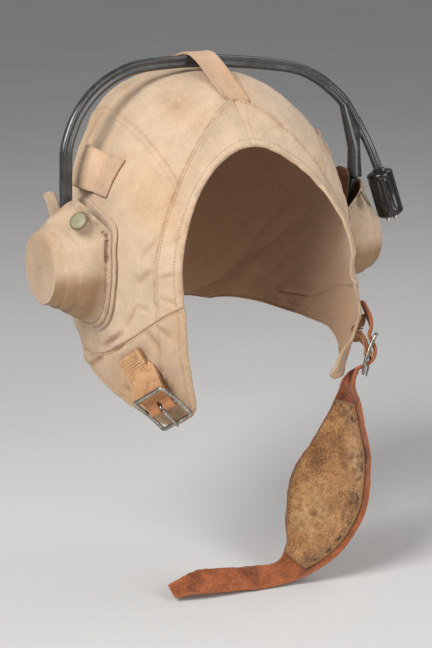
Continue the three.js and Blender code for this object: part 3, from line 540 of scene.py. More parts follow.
def curve_through(points, count):
    """A smooth path through a few points."""
    points = np.array(points, float)
    length = gone_along(points)
    rows = {"at": length, "x": points[:, 0], "y": points[:, 1], "z": points[:, 2]}
    where = np.linspace(0, length[-1], count)
    return np.stack([column(rows, name, where) for name in "xyz"], 1)


# Stitching: rows of thread along lines, made by one node tree.
STITCH_INPUTS = {
    "Lines": "Geometry", "Spacing": "Float", "Length": "Float", "Width": "Float", "Uneven": "Float",
    "Seed": "Int", "Thread": "Material",
}


def stitch_tree():
    tree = bpy.data.node_groups.new("stitch_rows", "GeometryNodeTree")
    for name, kind in STITCH_INPUTS.items():
        tree.interface.new_socket(name, in_out="INPUT", socket_type="NodeSocket" + kind)
    tree.interface.new_socket("Stitches", in_out="OUTPUT", socket_type="NodeSocketGeometry")

    def made(kind, feeds=(), out=0, **settings):
        return add_node(tree, kind, feeds, **settings).outputs[out]

    given = add_node(tree, "NodeGroupInput").outputs
    curve = made("GeometryNodeMeshToCurve", {"Mesh": given["Lines"]})
    spaced = made("GeometryNodeResampleCurve", {"Curve": curve, "Length": given["Spacing"]}, mode="LENGTH")
    bead = made("GeometryNodeMeshUVSphere", {"Segments": 6, "Rings": 4, "Radius": 0.5})
    size = made("ShaderNodeCombineXYZ", {"X": given["Length"], "Y": given["Width"], "Z": given["Width"]})
    shaped = made("GeometryNodeTransform", {"Geometry": bead, "Scale": size})
    turn = made("FunctionNodeAlignRotationToVector", {"Vector": made("GeometryNodeInputTangent")}, axis="X")
    low = made("ShaderNodeMath", {0: 1, 1: given["Uneven"]}, operation="SUBTRACT")
    high = made("ShaderNodeMath", {0: 1, 1: given["Uneven"]})
    varied = made("FunctionNodeRandomValue", {2: low, 3: high, "Seed": given["Seed"]}, 1)
    feeds = {"Points": spaced, "Instance": shaped, "Rotation": turn, "Scale": varied}
    real = made("GeometryNodeRealizeInstances", {"Geometry": made("GeometryNodeInstanceOnPoints", feeds)})
    painted = made("GeometryNodeSetMaterial", {"Geometry": real, "Material": given["Thread"]})
    add_node(tree, "NodeGroupOutput", {"Stitches": painted})
    return tree


STITCH_TREE = stitch_tree()
STITCH_SHARE = 0.72  # a stitch's length as a share of its spacing


def sew(name, lines, spacing, thread, length=None, width=0.75, uneven=0.15, seed=1):
    """Rows of stitches along lines of points."""
    points = np.concatenate(lines)
    ends = np.cumsum([len(line) for line in lines])
    edges = [(i, i + 1) for i in range(len(points) - 1) if i + 1 not in ends]
    guide = add_object(name + "_lines", add_mesh(name + "_lines", points, edges, []))
    modifier = guide.modifiers.new("stitches", "NODES")
    modifier.node_group = STITCH_TREE
    values = {"Spacing": spacing * MM, "Length": (length or spacing * STITCH_SHARE) * MM, "Width": width * MM}
    values.update({"Uneven": uneven, "Seed": seed, "Thread": thread})
    for item in STITCH_TREE.interface.items_tree:
        if item.in_out == "INPUT" and item.name in values:
            modifier[item.identifier] = values[item.name]
    made = applied(guide)
    made.name = name
    made.polygons.foreach_set("use_smooth", np.ones(len(made.polygons), bool))
    obj = add_object(name, made)
    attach(obj, HELMET)
    return obj


# The hood is a fan of arches from the face edge back to the nape.
# top: the arch's crown point. side: its widest point. hem: its end on the right. left: its end on the left,
# where the fastened buckle draws the flap up, and belly: how far that flap bulges.
# round, sweep, ease: how the arch bends between those points.
ARCHES = table(
    "at topY topZ sideX sideY sideZ round sweep ease hemX hemY hemZ leftX leftY leftZ belly",
    (0, -67, -38.5, 60, -87, -110, 1.75, 2.5, 1.8, 50.5, -89, -193, 53, -77, -190, 12),
    (0.1, -42, -13, 70, -73, -110, 1.5, 1, 1.8, 57, -67, -206, 68, -70, -187, 7),
    (0.26, -16, -1, 80, -48, -102, 2.1, 1.4, 1.8, 67, -38, -200, 74, -48, -166, 2),
    (0.42, 12, 1.7, 86, -12, -96, 2.3, 2, 1.8, 75, -6, -188, 77, -12, -164, 0),
    (0.53, 38, -2.6, 86, 6, -99, 2.25, 2, 1.8, 76, 11, -179, 77, 4, -164, 0),
    (0.6, 54, -9, 84, 18, -103, 2.2, 2, 1.6, 76, 22, -162, 76, 16, -164, 0),
    (0.76, 86, -55, 74, 40, -116, 2, 2, 1.2, 70, 38, -158, 70, 38, -162, 0),
    (0.89, 93, -110, 57, 62, -146, 2, 2, 1, 59, 57, -160, 59, 57, -161, 0),
    (1, 82, -160, 33, 75, -160.5, 2, 2, 1, 46, 67, -162, 46, 67, -162, 0),
)
SIDE_AT = 0.6  # where along a half arch its widest point lies
CLOTH = 1.7
BROW_SEAM = 0.1
NAPE_SEAM = 0.66


def crown_seam(v):
    return lerp(0.36, 0.26, clamp01(v / 0.5))


# The seam above the chin flap: t at each v.
CHIN_SEAM = table("at t", (0, 0.69), (0.1, 0.722), (0.27, 0.834), (0.36, 0.895), (0.45, 0.93), (1, 0.93))


def chin_seam(v):
    return column(CHIN_SEAM, "t", v)


def hood(u, v):
    """A point of the hood's smooth outer form: u from the right hem (-1) over the crown to the left hem (1),
    v from the face edge (0) to the nape hem (1)."""
    u, v = floats(u, v)
    side = np.where(u < 0, -1.0, 1.0)
    t = np.abs(u)

    def c(name):
        return column(ARCHES, name, v)

    turn = np.minimum(t / SIDE_AT, 1) * math.pi / 2
    power = 2 / c("round")
    upper = (
        side * c("sideX") * np.sin(turn) ** power,
        lerp(c("topY"), c("sideY"), np.sin(turn) ** c("sweep")),
        lerp(c("sideZ"), c("topZ"), np.maximum(np.cos(turn), 0) ** power),
    )
    drop = clamp01((t - SIDE_AT) / (1 - SIDE_AT))

    def end(axis):
        return np.where(side < 0, c("hem" + axis), c("left" + axis))

    belly = np.where(side < 0, 0, c("belly") * np.sin(math.pi * drop) ** 2)
    lower = (
        side * (lerp(c("sideX"), end("X"), drop ** c("ease")) + belly),
        lerp(c("sideY"), end("Y"), drop),
        lerp(c("sideZ"), end("Z"), drop),
    )
    return np.where((t <= SIDE_AT)[..., None], np.stack(upper, -1), np.stack(lower, -1))


def hood_slopes(u, v):
    """How the hood runs along u and v, per unit of each."""
    step = 1e-3
    u0, u1 = np.maximum(u - step, -1), np.minimum(u + step, 1)
    v0, v1 = np.maximum(v - step, 0), np.minimum(v + step, 1)
    by_u = (hood(u1, v) - hood(u0, v)) / (u1 - u0)[..., None]
    by_v = (hood(u, v1) - hood(u, v0)) / (v1 - v0)[..., None]
    return by_u, by_v


# The sewn detail of each seam, in millimetres from it. fold: how high the cloth stands over its turned-in
# edge, from one distance to another. rows: its stitch rows, dent: how deep they draw the cloth in, and
# groove: how deep the seam itself lies.
SEAMS = {
    "crown": {"fold": (0.1, 0.2, 5.8), "rows": (1.2, 5.0), "dent": 0.1, "groove": 0.14},
    "brow": {"fold": (0.22, 0.1, 3.6), "rows": (2.0,), "dent": 0.24, "groove": 0.28},
    "chin": {"fold": (0.6, -2.4, -0.1), "rows": (1.5,), "dent": 0.25, "groove": 0.28},
    "nape": {"fold": (0.2, -4, 4), "rows": (-2.2, 2.2), "dent": 0.24, "groove": 0.28},
    "centre": {"fold": (0, 0, 1), "rows": (1.5, 4.6), "dent": 0.2, "groove": 0.22},
}
ROW_WIDTH = 0.5  # half the width of a stitch row's dent
GROOVE_WIDTH = 0.45
# Hems: the stitch row from the edge, its dent, how far the edge is rounded off, and the face hem's fold.
HEM_ROW = 4.4
HEM = {"dent": 0.26, "dent_width": 0.55, "edge": 0.5, "edge_width": 0.8, "fold": 0.3}
CENTRE_TO = 0.2  # how far from the middle, in t, the centre rows are looked for
CUP_SIZE = {"y": -14.0, "z": -112.0, "plane": 86.6}


def steps(u, v):
    """Millimetres of cloth to a unit of t and to a unit of v."""
    by_u, by_v = hood_slopes(u, v)
    return norm(by_u), norm(by_v)


def distances(u, v):
    """Distances on the cloth, in millimetres, from each seam and hem."""
    along_t, along_v = steps(u, v)
    t = np.abs(u)
    return {
        "crown": (t - crown_seam(v)) * along_t,
        "chin": (t - chin_seam(v)) * along_t,
        "brow": (BROW_SEAM - v) * along_v,
        "nape": (v - NAPE_SEAM) * along_v,
        "centre": u * along_t,
        "face": v * along_v,
        "hem": np.where(v < NAPE_SEAM, (1 - t) * along_t, 99),
        "back": np.minimum((1 - v) * along_v, np.where(v < NAPE_SEAM, 99, (1 - t) * along_t)),
    }


def sewn_detail(u, v, d):
    """Relief of the seams and hems."""
    t = np.abs(u)
    in_front = v < NAPE_SEAM
    over_chin = t < chin_seam(v)
    live = {
        "crown": over_chin & in_front & (v > BROW_SEAM),
        "brow": over_chin,
        "chin": in_front,
        "nape": v > BROW_SEAM,
        "centre": in_front & (t < CENTRE_TO),
    }
    lift = HEM["fold"] * plateau(d["face"], -1, HEM_ROW + 0.8)
    for name, where in live.items():
        seam = SEAMS[name]
        height, low, high = seam["fold"]
        relief = height * plateau(d[name], low, high) - seam["groove"] * bell(d[name], GROOVE_WIDTH)
        relief -= sum(seam["dent"] * bell(d[name] - row, ROW_WIDTH) for row in seam["rows"])
        lift += relief * where
    for hem in ("face", "hem", "back"):
        lift -= HEM["dent"] * bell(d[hem] - HEM_ROW, HEM["dent_width"])
        lift -= HEM["edge"] * bell(d[hem], HEM["edge_width"])
    return lift


# Creases worn into the cloth: a line from (t0, v0) to (t1, v1) on one side, its width and its depth.
CREASES = table(
    "side t0 v0 t1 v1 width depth",
    (-1, 0.336, 0.085, 0.413, 0.115, 4, 0.4),
    (-1, 0.471, 0.104, 0.562, 0.16, 3, 0.7),
    (-1, 0.575, 0.108, 0.65, 0.185, 3, 0.7),
    (-1, 0.457, 0.015, 0.48, 0.05, 2.6, 0.6),
    (-1, 0.591, 0.022, 0.608, 0.078, 2.6, 0.7),
    (-1, 0.658, 0.079, 0.679, 0.026, 2.6, 0.7),
    (-1, 0.708, 0.188, 0.699, 0.136, 2.4, 0.6),
    (-1, 0.875, 0.358, 0.799, 0.261, 2.8, 1.6),
    (-1, 0.737, 0.102, 0.764, 0.056, 2.8, 0.9),
    (-1, 0.865, 0.303, 0.826, 0.255, 2.4, 0.9),
    (-1, 0.815, 0.045, 0.818, 0.011, 2.4, 0.9),
    (-1, 0.714, 0.197, 0.782, 0.249, 3, 0.9),
    (-1, 0.208, 0.21, 0.083, 0.204, 4, 0.25),
    (-1, 0.25, 0.13, 0.164, 0.13, 6, 0.3),
    (1, 0.165, 0.097, 0.219, 0.083, 4, 0.4),
    (-1, 0.95, 0.28, 0.956, 0.255, 3, 1.2),
    (1, 0.45, 0.2, 0.56, 0.26, 4, 0.9),
    (1, 0.7, 0.12, 0.78, 0.22, 4, 1.0),
    (-1, 0.3, 0.5, 0.42, 0.56, 5, 0.8),
    (1, 0.3, 0.45, 0.4, 0.56, 5, 0.8),
    (-1, 0.849, 0.397, 0.886, 0.356, 1.4, 0.8),
    (-1, 0.996, 0.495, 0.913, 0.372, 2.6, 1.2),
    (-1, 0.9, 0.16, 0.955, 0.09, 3, 0.9),
    (-1, 0.84, 0.14, 0.9, 0.06, 2.6, 0.7),
    (-1, 0.76, 0.15, 0.8, 0.09, 3, 0.8),
)
# How the rows above are used: factors on their width and depth, the low swelling beside each crease as
# factors on both, and how much of a crease's length its soft ends take.
CREASE = {"width": 0.72, "depth": 3.0, "swell": 0.45, "swell_width": 2.2, "ends": 0.12}


def creases(points):
    """Relief of the creases at points of the hood."""
    lift = np.zeros(points.shape[:-1])
    for row in each_row(CREASES):
        a = hood(row["side"] * row["t0"], row["v0"])
        b = hood(row["side"] * row["t1"], row["v1"])
        along = clamp01(((points - a) @ (b - a)) / ((b - a) @ (b - a)))
        away = norm(points - a - along[..., None] * (b - a))
        fade = np.sin(math.pi * lerp(CREASE["ends"], 1 - CREASE["ends"], along))
        width = CREASE["width"] * row["width"]
        shape = bell(away, width) - CREASE["swell"] * bell(away, CREASE["swell_width"] * width)
        lift -= CREASE["depth"] * row["depth"] * fade * shape
    return lift


# Broad soft dents: a place (t, v) on one side, its radius and its depth.
DENTS = table(
    "side t v radius depth",
    (-1, 0.36, 0.42, 34, 2.4),
    (-1, 0.2, 0.17, 16, 0.9),
    (-1, 0.72, 0.2, 18, 1.2),
    (1, 0.36, 0.4, 30, 1.6),
    (1, 0.8, 0.25, 20, 1.2),
)


# Lumps of the worn cloth: their size, their depth on the crown and low on the sides, and their seed.
LUMPS = ((44, 0.55, 0.95, 3), (19, 0.3, 0.5, 5))
LOW_FROM = 0.35  # the t where the sides' deeper lumps and folds begin
UNDER_CUP = {"radius": 36, "from": 0.3, "flat": 0.9}  # where the ear cups keep the cloth flat, and how much
PUCKER = {"depth": 0.24, "size": 4.5, "seed": 11}
PUCKER_REACH = {"crown": 5, "brow": 5, "chin": 7, "face": 6, "hem": 6, "nape": 5}
# Folds that drag down the sides, with how far they slant and how they are drawn out downwards, and rows of
# depth, size and seed for the folds all over.
DRAG = {"slant": 0.9, "stretch": 0.22, "depth": 1.9, "size": 13, "seed": 8}
FOLDS = ((0.7, 17, 9), (0.35, 7, 10))
FOLD_CREST = 0.3  # how far a crest stands over the cloth, as a share of the fold's depth


def folded(points, size, seed):
    """Noise with sharp crests, like the folds of crumpled cloth."""
    return FOLD_CREST - np.abs(soft_noise(points, size, seed))


def wear(u, v):
    """Soft lumps, dents and drag folds of cloth that has been worn."""
    points = hood(u, v)
    t = np.abs(u)
    cup = np.array([CUP_SIZE["y"], CUP_SIZE["z"]])
    under_cup = bell(norm(points[..., 1:] - cup), UNDER_CUP["radius"]) * (t > UNDER_CUP["from"])
    free = 1 - UNDER_CUP["flat"] * under_cup
    low = smooth((t - LOW_FROM) / LOW_FROM)
    lumps = sum(lerp(thin, deep, low) * soft_noise(points, size, seed) for size, thin, deep, seed in LUMPS)
    x, y, z = np.moveaxis(points, -1, 0)
    drag = np.stack([x, y + DRAG["slant"] * z, DRAG["stretch"] * z], -1)
    folds = DRAG["depth"] * low * folded(drag, DRAG["size"], DRAG["seed"])
    for depth, size, seed in FOLDS:
        folds = folds + depth * folded(points, size, seed)
    sag = 0.0
    for row in each_row(DENTS):
        middle = hood(row["side"] * row["t"], row["v"])
        sag = sag - row["depth"] * bell(norm(points - middle), row["radius"])
    return free * (lumps + folds) + sag


def pucker(points, d):
    """Small puckers along the seams and hems."""
    near = sum(PUCKER["depth"] * bell(d[seam], reach) for seam, reach in PUCKER_REACH.items())
    return near * soft_noise(points, PUCKER["size"], PUCKER["seed"])


FLAP_CORNER = 6  # radius of the flaps' front corners


def rounded_corner(u, v):
    """Moves places near a flap's front corner so that the corner comes out round."""
    along_t, along_v = steps(u, v)
    across = clamp01(1 - v * along_v / FLAP_CORNER)
    down = clamp01(1 - (1 - np.abs(u)) * along_t / FLAP_CORNER)
    in_v = across * (1 - np.sqrt(1 - down**2 / 2)) * FLAP_CORNER / along_v
    in_t = down * (1 - np.sqrt(1 - across**2 / 2)) * FLAP_CORNER / along_t
    return np.sign(u) * (np.abs(u) - in_t), v + in_v


# Soil along the seams and hems, how much of it the crown seam has, and how much painted shade lies in the
# creases.
SOIL_AND_SHADE = {"reach": 1.5, "crown": 0.4, "crease_shade": 0.5, "full_at": 1.4}
# Stains on the cloth: the middle of each and its radius.
STAINS = table("x y z radius", (-62, -72, -197, 17), (-69, 14, -34, 9), (-33, -33, -13, 10))


def cloth(u, v, sewn=True):
    """A point of the worn cloth's outer face, its normal and how soiled and shaded it is, with painted shade
    in the creases; sewn adds seams and creases.
    """
    u, v = floats(u, v)
    points = hood(*rounded_corner(u, v))
    by_u, by_v = hood_slopes(u, v)
    normal = unit(np.cross(by_u, by_v))
    lift = wear(u, v)
    soil_and_shade = 0.0
    if sewn:
        d = distances(u, v)
        worn = creases(points)
        lift = lift + sewn_detail(u, v, d) + worn + pucker(points, d)
        soil_and_shade = sum(bell(d[name], SOIL_AND_SHADE["reach"]) for name in ("brow", "chin", "nape", "face", "hem", "back"))
        soil_and_shade = soil_and_shade + SOIL_AND_SHADE["crown"] * bell(d["crown"], SOIL_AND_SHADE["reach"])
        # Painted shade in the creases, added to the soil.
        soil_and_shade = soil_and_shade + SOIL_AND_SHADE["crease_shade"] * clamp01(-worn / SOIL_AND_SHADE["full_at"])
        for row in each_row(STAINS):
            soil_and_shade = soil_and_shade + bell(norm(points - vec(row["x"], row["y"], row["z"])), row["radius"])
    return points + normal * lift[..., None], normal, clamp01(soil_and_shade)


HALF_SEAM = 0.12  # half the gap along a seam
ARCH_LENGTH = 230
FAN_LENGTH = 240
# How much painted shade darkens the chin flaps and the creases, and how the inside's colour, painted shade of
# the hollow, sets in behind the face edge.
FLAP_PAINTED_SHADE = 0.35
CREASE_PAINTED_SHADE = 0.6
INSIDE_SHADE = {"front": 0.45, "full_at": 0.32}


def panel(name, side, t_low, t_high, v_low, v_high):
    """A cloth panel between two lines of t, given as functions of v, and two values of v."""
    gap_t = HALF_SEAM / ARCH_LENGTH
    gap_v = HALF_SEAM / FAN_LENGTH
    v0 = v_low + gap_v * (v_low > 0)
    v1 = v_high - gap_v * (v_high < 1)
    middle = (v0 + v1) / 2
    span_t = (t_high(middle) - t_low(middle)) * ARCH_LENGTH * (2 if side == 0 else 1)
    share_t = graded(max(20, span_t))
    share_v = graded((v1 - v0) * FAN_LENGTH * 1.1)
    v = lerp(v0, v1, share_v)[:, None]
    high = t_high(v) - gap_t * (t_high(v) < 1)
    low = -high if side == 0 else t_low(v) + gap_t
    u = lerp(low, high, share_t[None, :]) * (side or 1)
    u, v = np.broadcast_arrays(u, v)
    outer, normal, soil_and_shade = cloth(u, v)
    shape, source, depth = wall(outer, outer - normal * CLOTH)
    weave = np.stack([u * ARCH_LENGTH, v * FAN_LENGTH], -1).reshape(-1, 2)
    # Painted shade on the chin flaps and in the creases.
    painted_shade = FLAP_PAINTED_SHADE * smooth((np.abs(u) - chin_seam(v) + 0.03) / 0.1) * (v < NAPE_SEAM)
    painted_shade = painted_shade + CREASE_PAINTED_SHADE * clamp01(-creases(hood(u, v)) / 2)
    # Inner faces take the inside colour as painted shade, lighter near the face edge and full deeper in.
    inside = (depth > 0.6) * lerp(INSIDE_SHADE["front"], 1, smooth(v / INSIDE_SHADE["full_at"])).reshape(-1)[source]
    marks = {"soil_and_shade": soil_and_shade.reshape(-1)[source], "inside": inside, "painted_shade": clamp01(painted_shade).reshape(-1)[source]}
    return piece(name, shape, TWILL, [name], uv=weave[source], marks=marks)


def flat_line(value):
    return lambda v: np.full(np.shape(v), float(value))


def hood_panels():
    top = flat_line(0)
    hem = flat_line(1)
    for word, side in SIDES:
        panel("brow_band_" + word, side, top, chin_seam, 0, BROW_SEAM)
        panel("crown_" + word, side, top, crown_seam, BROW_SEAM, NAPE_SEAM)
        panel("side_panel_" + word, side, crown_seam, chin_seam, BROW_SEAM, NAPE_SEAM)
        panel("chin_flap_" + word, side, chin_seam, hem, 0, NAPE_SEAM)
    panel("nape_panel", 0, top, hem, NAPE_SEAM, 1)


LINE_STEPS = 400


def hood_line(u, v, off_t=0.0, off_v=0.0):
    """A line on the cloth along (u, v), shifted by millimetres along t and v."""
    u = np.full(LINE_STEPS, u, float)
    v = np.full(LINE_STEPS, v, float)
    along_t, along_v = steps(u, v)
    u += np.where(u < 0, -1, 1) * off_t / along_t
    v += off_v / along_v
    u, v = np.clip(u, -0.999, 0.999), np.clip(v, 0.001, 0.999)
    point, normal, _ = cloth(u, v)
    return resampled(point + normal * 0.12, 0.6)


def hood_stitching():
    lines = []
    faint = []
    run = np.linspace(0, 1, LINE_STEPS)
    for _, side in SIDES:
        v = lerp(BROW_SEAM, NAPE_SEAM, run)
        faint += [hood_line(side * crown_seam(v), v, off_t=row) for row in SEAMS["crown"]["rows"]]
        lines.append(hood_line(side * lerp(0.01, 0.69, run), BROW_SEAM, off_v=-SEAMS["brow"]["rows"][0]))
        v = lerp(0.015, NAPE_SEAM, run)
        lines.append(hood_line(side * chin_seam(v), v, off_t=SEAMS["chin"]["rows"][0]))
        lines.append(hood_line(side * lerp(0.005, 0.97, run), 0, off_v=HEM_ROW))
        lines.append(hood_line(side * 0.9999, lerp(0.03, 0.985, run), off_t=-HEM_ROW))
    lines += [hood_line(lerp(-0.99, 0.99, run), NAPE_SEAM, off_v=row) for row in SEAMS["nape"]["rows"]]
    lines.append(hood_line(lerp(-0.97, 0.97, run), 1, off_v=-HEM_ROW))
    v = lerp(0.02, NAPE_SEAM - 0.01, run)
    faint += [hood_line(1e-4, v, off_t=row) for row in SEAMS["centre"]["rows"]]
    sew("hood_stitching", lines, 1.9, THREAD, length=0.9, width=0.55, seed=4)
    sew("crown_stitching", faint, 1.6, PALE_THREAD, length=0.9, width=0.4, seed=5)


hood_panels()
hood_stitching()


def hood_at(side, y, z):
    """The place (t, v) on one side of the hood at a given depth y and height z."""
    y, z = floats(y, z)
    step = 1e-4
    t = np.full(y.shape, 0.5)
    v = np.full(y.shape, 0.35)
    for _ in range(30):
        point = hood(side * t, v)
        by_t = (hood(side * (t + step), v) - point) / step
        by_v = (hood(side * t, v + step) - point) / step
        miss_y, miss_z = y - point[..., 1], z - point[..., 2]
        area = by_t[..., 1] * by_v[..., 2] - by_v[..., 1] * by_t[..., 2]
        t = np.clip(t + 0.8 * (miss_y * by_v[..., 2] - by_v[..., 1] * miss_z) / area, 0.1, 0.995)
        v = np.clip(v + 0.8 * (by_t[..., 1] * miss_z - miss_y * by_t[..., 2]) / area, 0.002, 0.95)
    return t, v


# Ear cups: a cloth pocket with a shield-shaped edge on the hood and a round flat disc outside.
# The pocket's edge by the angle from straight ahead (0) over the top (90). edge: of the backings and the
# left cup. lip: of the right cup, whose front lip rises to a peak before the lead.
POCKET = table(
    "at edge lip",
    (0, 29, 29), (22, 32, 32), (41, 38.5, 38.5), (55, 36.6, 41.5), (68, 36, 45),
    (76, 36.4, 41), (85, 37.6, 34), (97, 38.2, 32.4), (112, 36, 33.2), (125, 36.6, 35),
    (139, 38, 38), (160, 32, 32), (180, 29.5, 29.5), (222, 32, 32), (250, 37, 37),
    (270, 39.5, 39.5), (292, 37, 37), (318, 31.5, 31.5), (338, 29, 29), (360, 29, 29),
)
MOUTH = {"angle": 86, "spread": 48, "reach": 38, -1: 105.5, 1: 112.4}
DISC = {"x": 117.2, "radius": 20.4}
# Rings of a cup. lift: off the backing. round: 0 is the pocket's edge, 1 a circle of the radius.
# scale: share of the edge's reach. under: how far below the outer face.
CUP_OUTER = table(
    "lift round radius scale under",
    (0, 0, 0, 1, 2),
    (1, 0, 0, 1.012, 1),
    (2, 0, 0, 1, 0),
    (2.6, 0, 0, 0.91, 0),
    (8.2, 0.5, 30.9, 0.85, 0),
    (14.6, 0.85, 28.2, 0.8, 0),
    (15.8, 0.93, 27.5, 0.8, 0),
    (16.4, 0.95, 26.5, 0.8, 0),
    (22, 1, 25.3, 0.8, 0),
    (23, 1, 24.7, 0.8, 0),
    (23.5, 1, 23.7, 0.8, 0),
    (29.2, 1, 22.4, 0.8, 0),
    (30.4, 1, 21.8, 0.8, 0),
    (30.6, 1, 20.8, 0.8, 0),
    (30.7, 1, 18.4, 0.8, -0.1),
    (30.9, 1, 10, 0.8, -0.3),
    (31, 1, 0.6, 0.8, -0.4),
)
CUP_INNER = table(
    "lift round radius scale under",
    (0, 0, 0, 0.91, 2.2),
    (6.4, 0.5, 28, 0.79, 2.2),
    (13.6, 0.88, 25, 0.74, 2.2),
    (21.4, 1, 21.8, 0.8, 2.2),
    (28.2, 1, 19.4, 0.8, 2.2),
    (28.6, 1, 1, 0.8, 2.2),
)
BACKING = 1.8
CUP_SEAT = 0.5 + BACKING + 0.3
CUP_AROUND = 180


def cup_points(side, degrees, ring, seat, outline=None):
    """Points of a cup's ring at angles from straight ahead (0) over the top (90)."""
    angle = np.radians(degrees)
    edge = column(POCKET, outline or ("lip" if side < 0 else "edge"), degrees)
    reach = lerp(edge * ring["scale"], ring["radius"], ring["round"])
    y = CUP_SIZE["y"] - reach * np.cos(angle)
    z = CUP_SIZE["z"] + reach * np.sin(angle)
    t, v = hood_at(side, y, z)
    hood_x = np.abs(hood(side * t, v)[..., 0])
    low = lerp(hood_x + seat, CUP_SIZE["plane"], ring["round"]) + ring["lift"]
    tent = lerp(MOUTH[side], DISC["x"], clamp01((MOUTH["reach"] - reach) / (MOUTH["reach"] - DISC["radius"])))
    off = np.abs(degrees - MOUTH["angle"]) / MOUTH["spread"]
    gape = 0.0 if outline else np.maximum(0, 1 - off**1.4)
    return np.stack([side * lerp(low, tent - ring["under"], gape), y, z], -1)


def between(rings, at):
    """Rings at places between the given ones, without overshoot."""
    step = np.diff(rings, axis=0)
    both = step[:-1] * step[1:]
    total = step[:-1] + step[1:]
    inner = np.where(both > 0, 2 * both / np.where(np.abs(total) < 1e-9, 1, total), 0)
    slope = np.concatenate([step[:1], inner, step[-1:]])
    k = np.clip(np.floor(at).astype(int), 0, len(rings) - 2)
    s = (at - k)[:, None, None]
    bend = slope[k] * s * (1 - s) ** 2 - slope[k + 1] * s**2 * (1 - s)
    return rings[k] * (1 + 2 * s) * (1 - s) ** 2 + rings[k + 1] * (3 - 2 * s) * s**2 + bend


def cup_rings(side, rows, count):
    """Rings of a cup along its table, with the angle and the table place of each point."""
    ring = {name: values[:, None] for name, values in rows.items()}
    degrees = np.linspace(0, 360, CUP_AROUND, endpoint=False)[None, :]
    coarse = cup_points(side, np.broadcast_to(degrees, (len(rows["at"]), CUP_AROUND)), ring, CUP_SEAT)
    at = np.linspace(0, rows["at"][-1], count)
    fine = between(coarse, at)
    return fine, *np.broadcast_arrays(degrees, at[:, None])


def turned(degrees, middle):
    """Degrees from a middle direction, between -180 and 180."""
    return (degrees - middle + 180) % 360 - 180


# The part of the cup's front edge whose cloth has frayed.
FRAYED = {"middle": 25, "spread": 13, "threads": 13}
# The cups' pleats, counted all round, on the half about the middle angle. The size of the cups' map by degree
# and by ring, and how many rings their cloth has.
PLEATS = {"count": 74, "middle": 268, "reach": 100, "soft": 30}
CUP_RINGS = {"outer": 145, "inner": 30}
CUP_MAP = {"around": 0.44, "along": 5.5}
# Where a cup's relief, wear and painted shade lie, by ring as counted in CUP_OUTER. Bands: first ring, last
# ring and how soft their ends are; below and disc carry painted shade. Lines: ring and width; rim is a
# painted highlight. Lumps: rows of depth, size and seed.
CUP_BANDS = {
    "ribs": (3, 4.4, 0.8), "fine_ribs": (4.6, 11.5, 0.8), "seam": (2.2, 3.7), "lumps": (2.8, 7, 1.5),
    "front": (2, 4.5), "below": (3.4, 12.4, 1.2), "disc": (13, 20, 0.4),
}
CUP_LINES = {"flange": (2, 0.7), "gap": (2.75, 0.22), "rim": (12.6, 0.5)}
CUP_LUMPS = ((0.8, 16, 21), (0.16, 5, 22))
# The cups' front seam, with its angle and width, and the depths of the relief.
CUP_SEAM = {"angle": 2, "width": 1.4}
CUP_DEPTH = {"ribs": 0.32, "fine_ribs": 0.14, "seam": 0.6, "gap": 1.3}
# Soil, with painted shade in the frayed gap, and painted shade on the lower halves and discs, lighter at the
# rim as a painted highlight. front_width and lip, with its angle and width, are in degrees.
CUP_SOIL_AND_SHADE = {"flange": 0.8, "front": 0.25, "gap": 2, "front_width": 60, "lip": (75, 28)}
CUP_PAINTED_SHADE = {"disc": 0.3, "rim": 0.3}


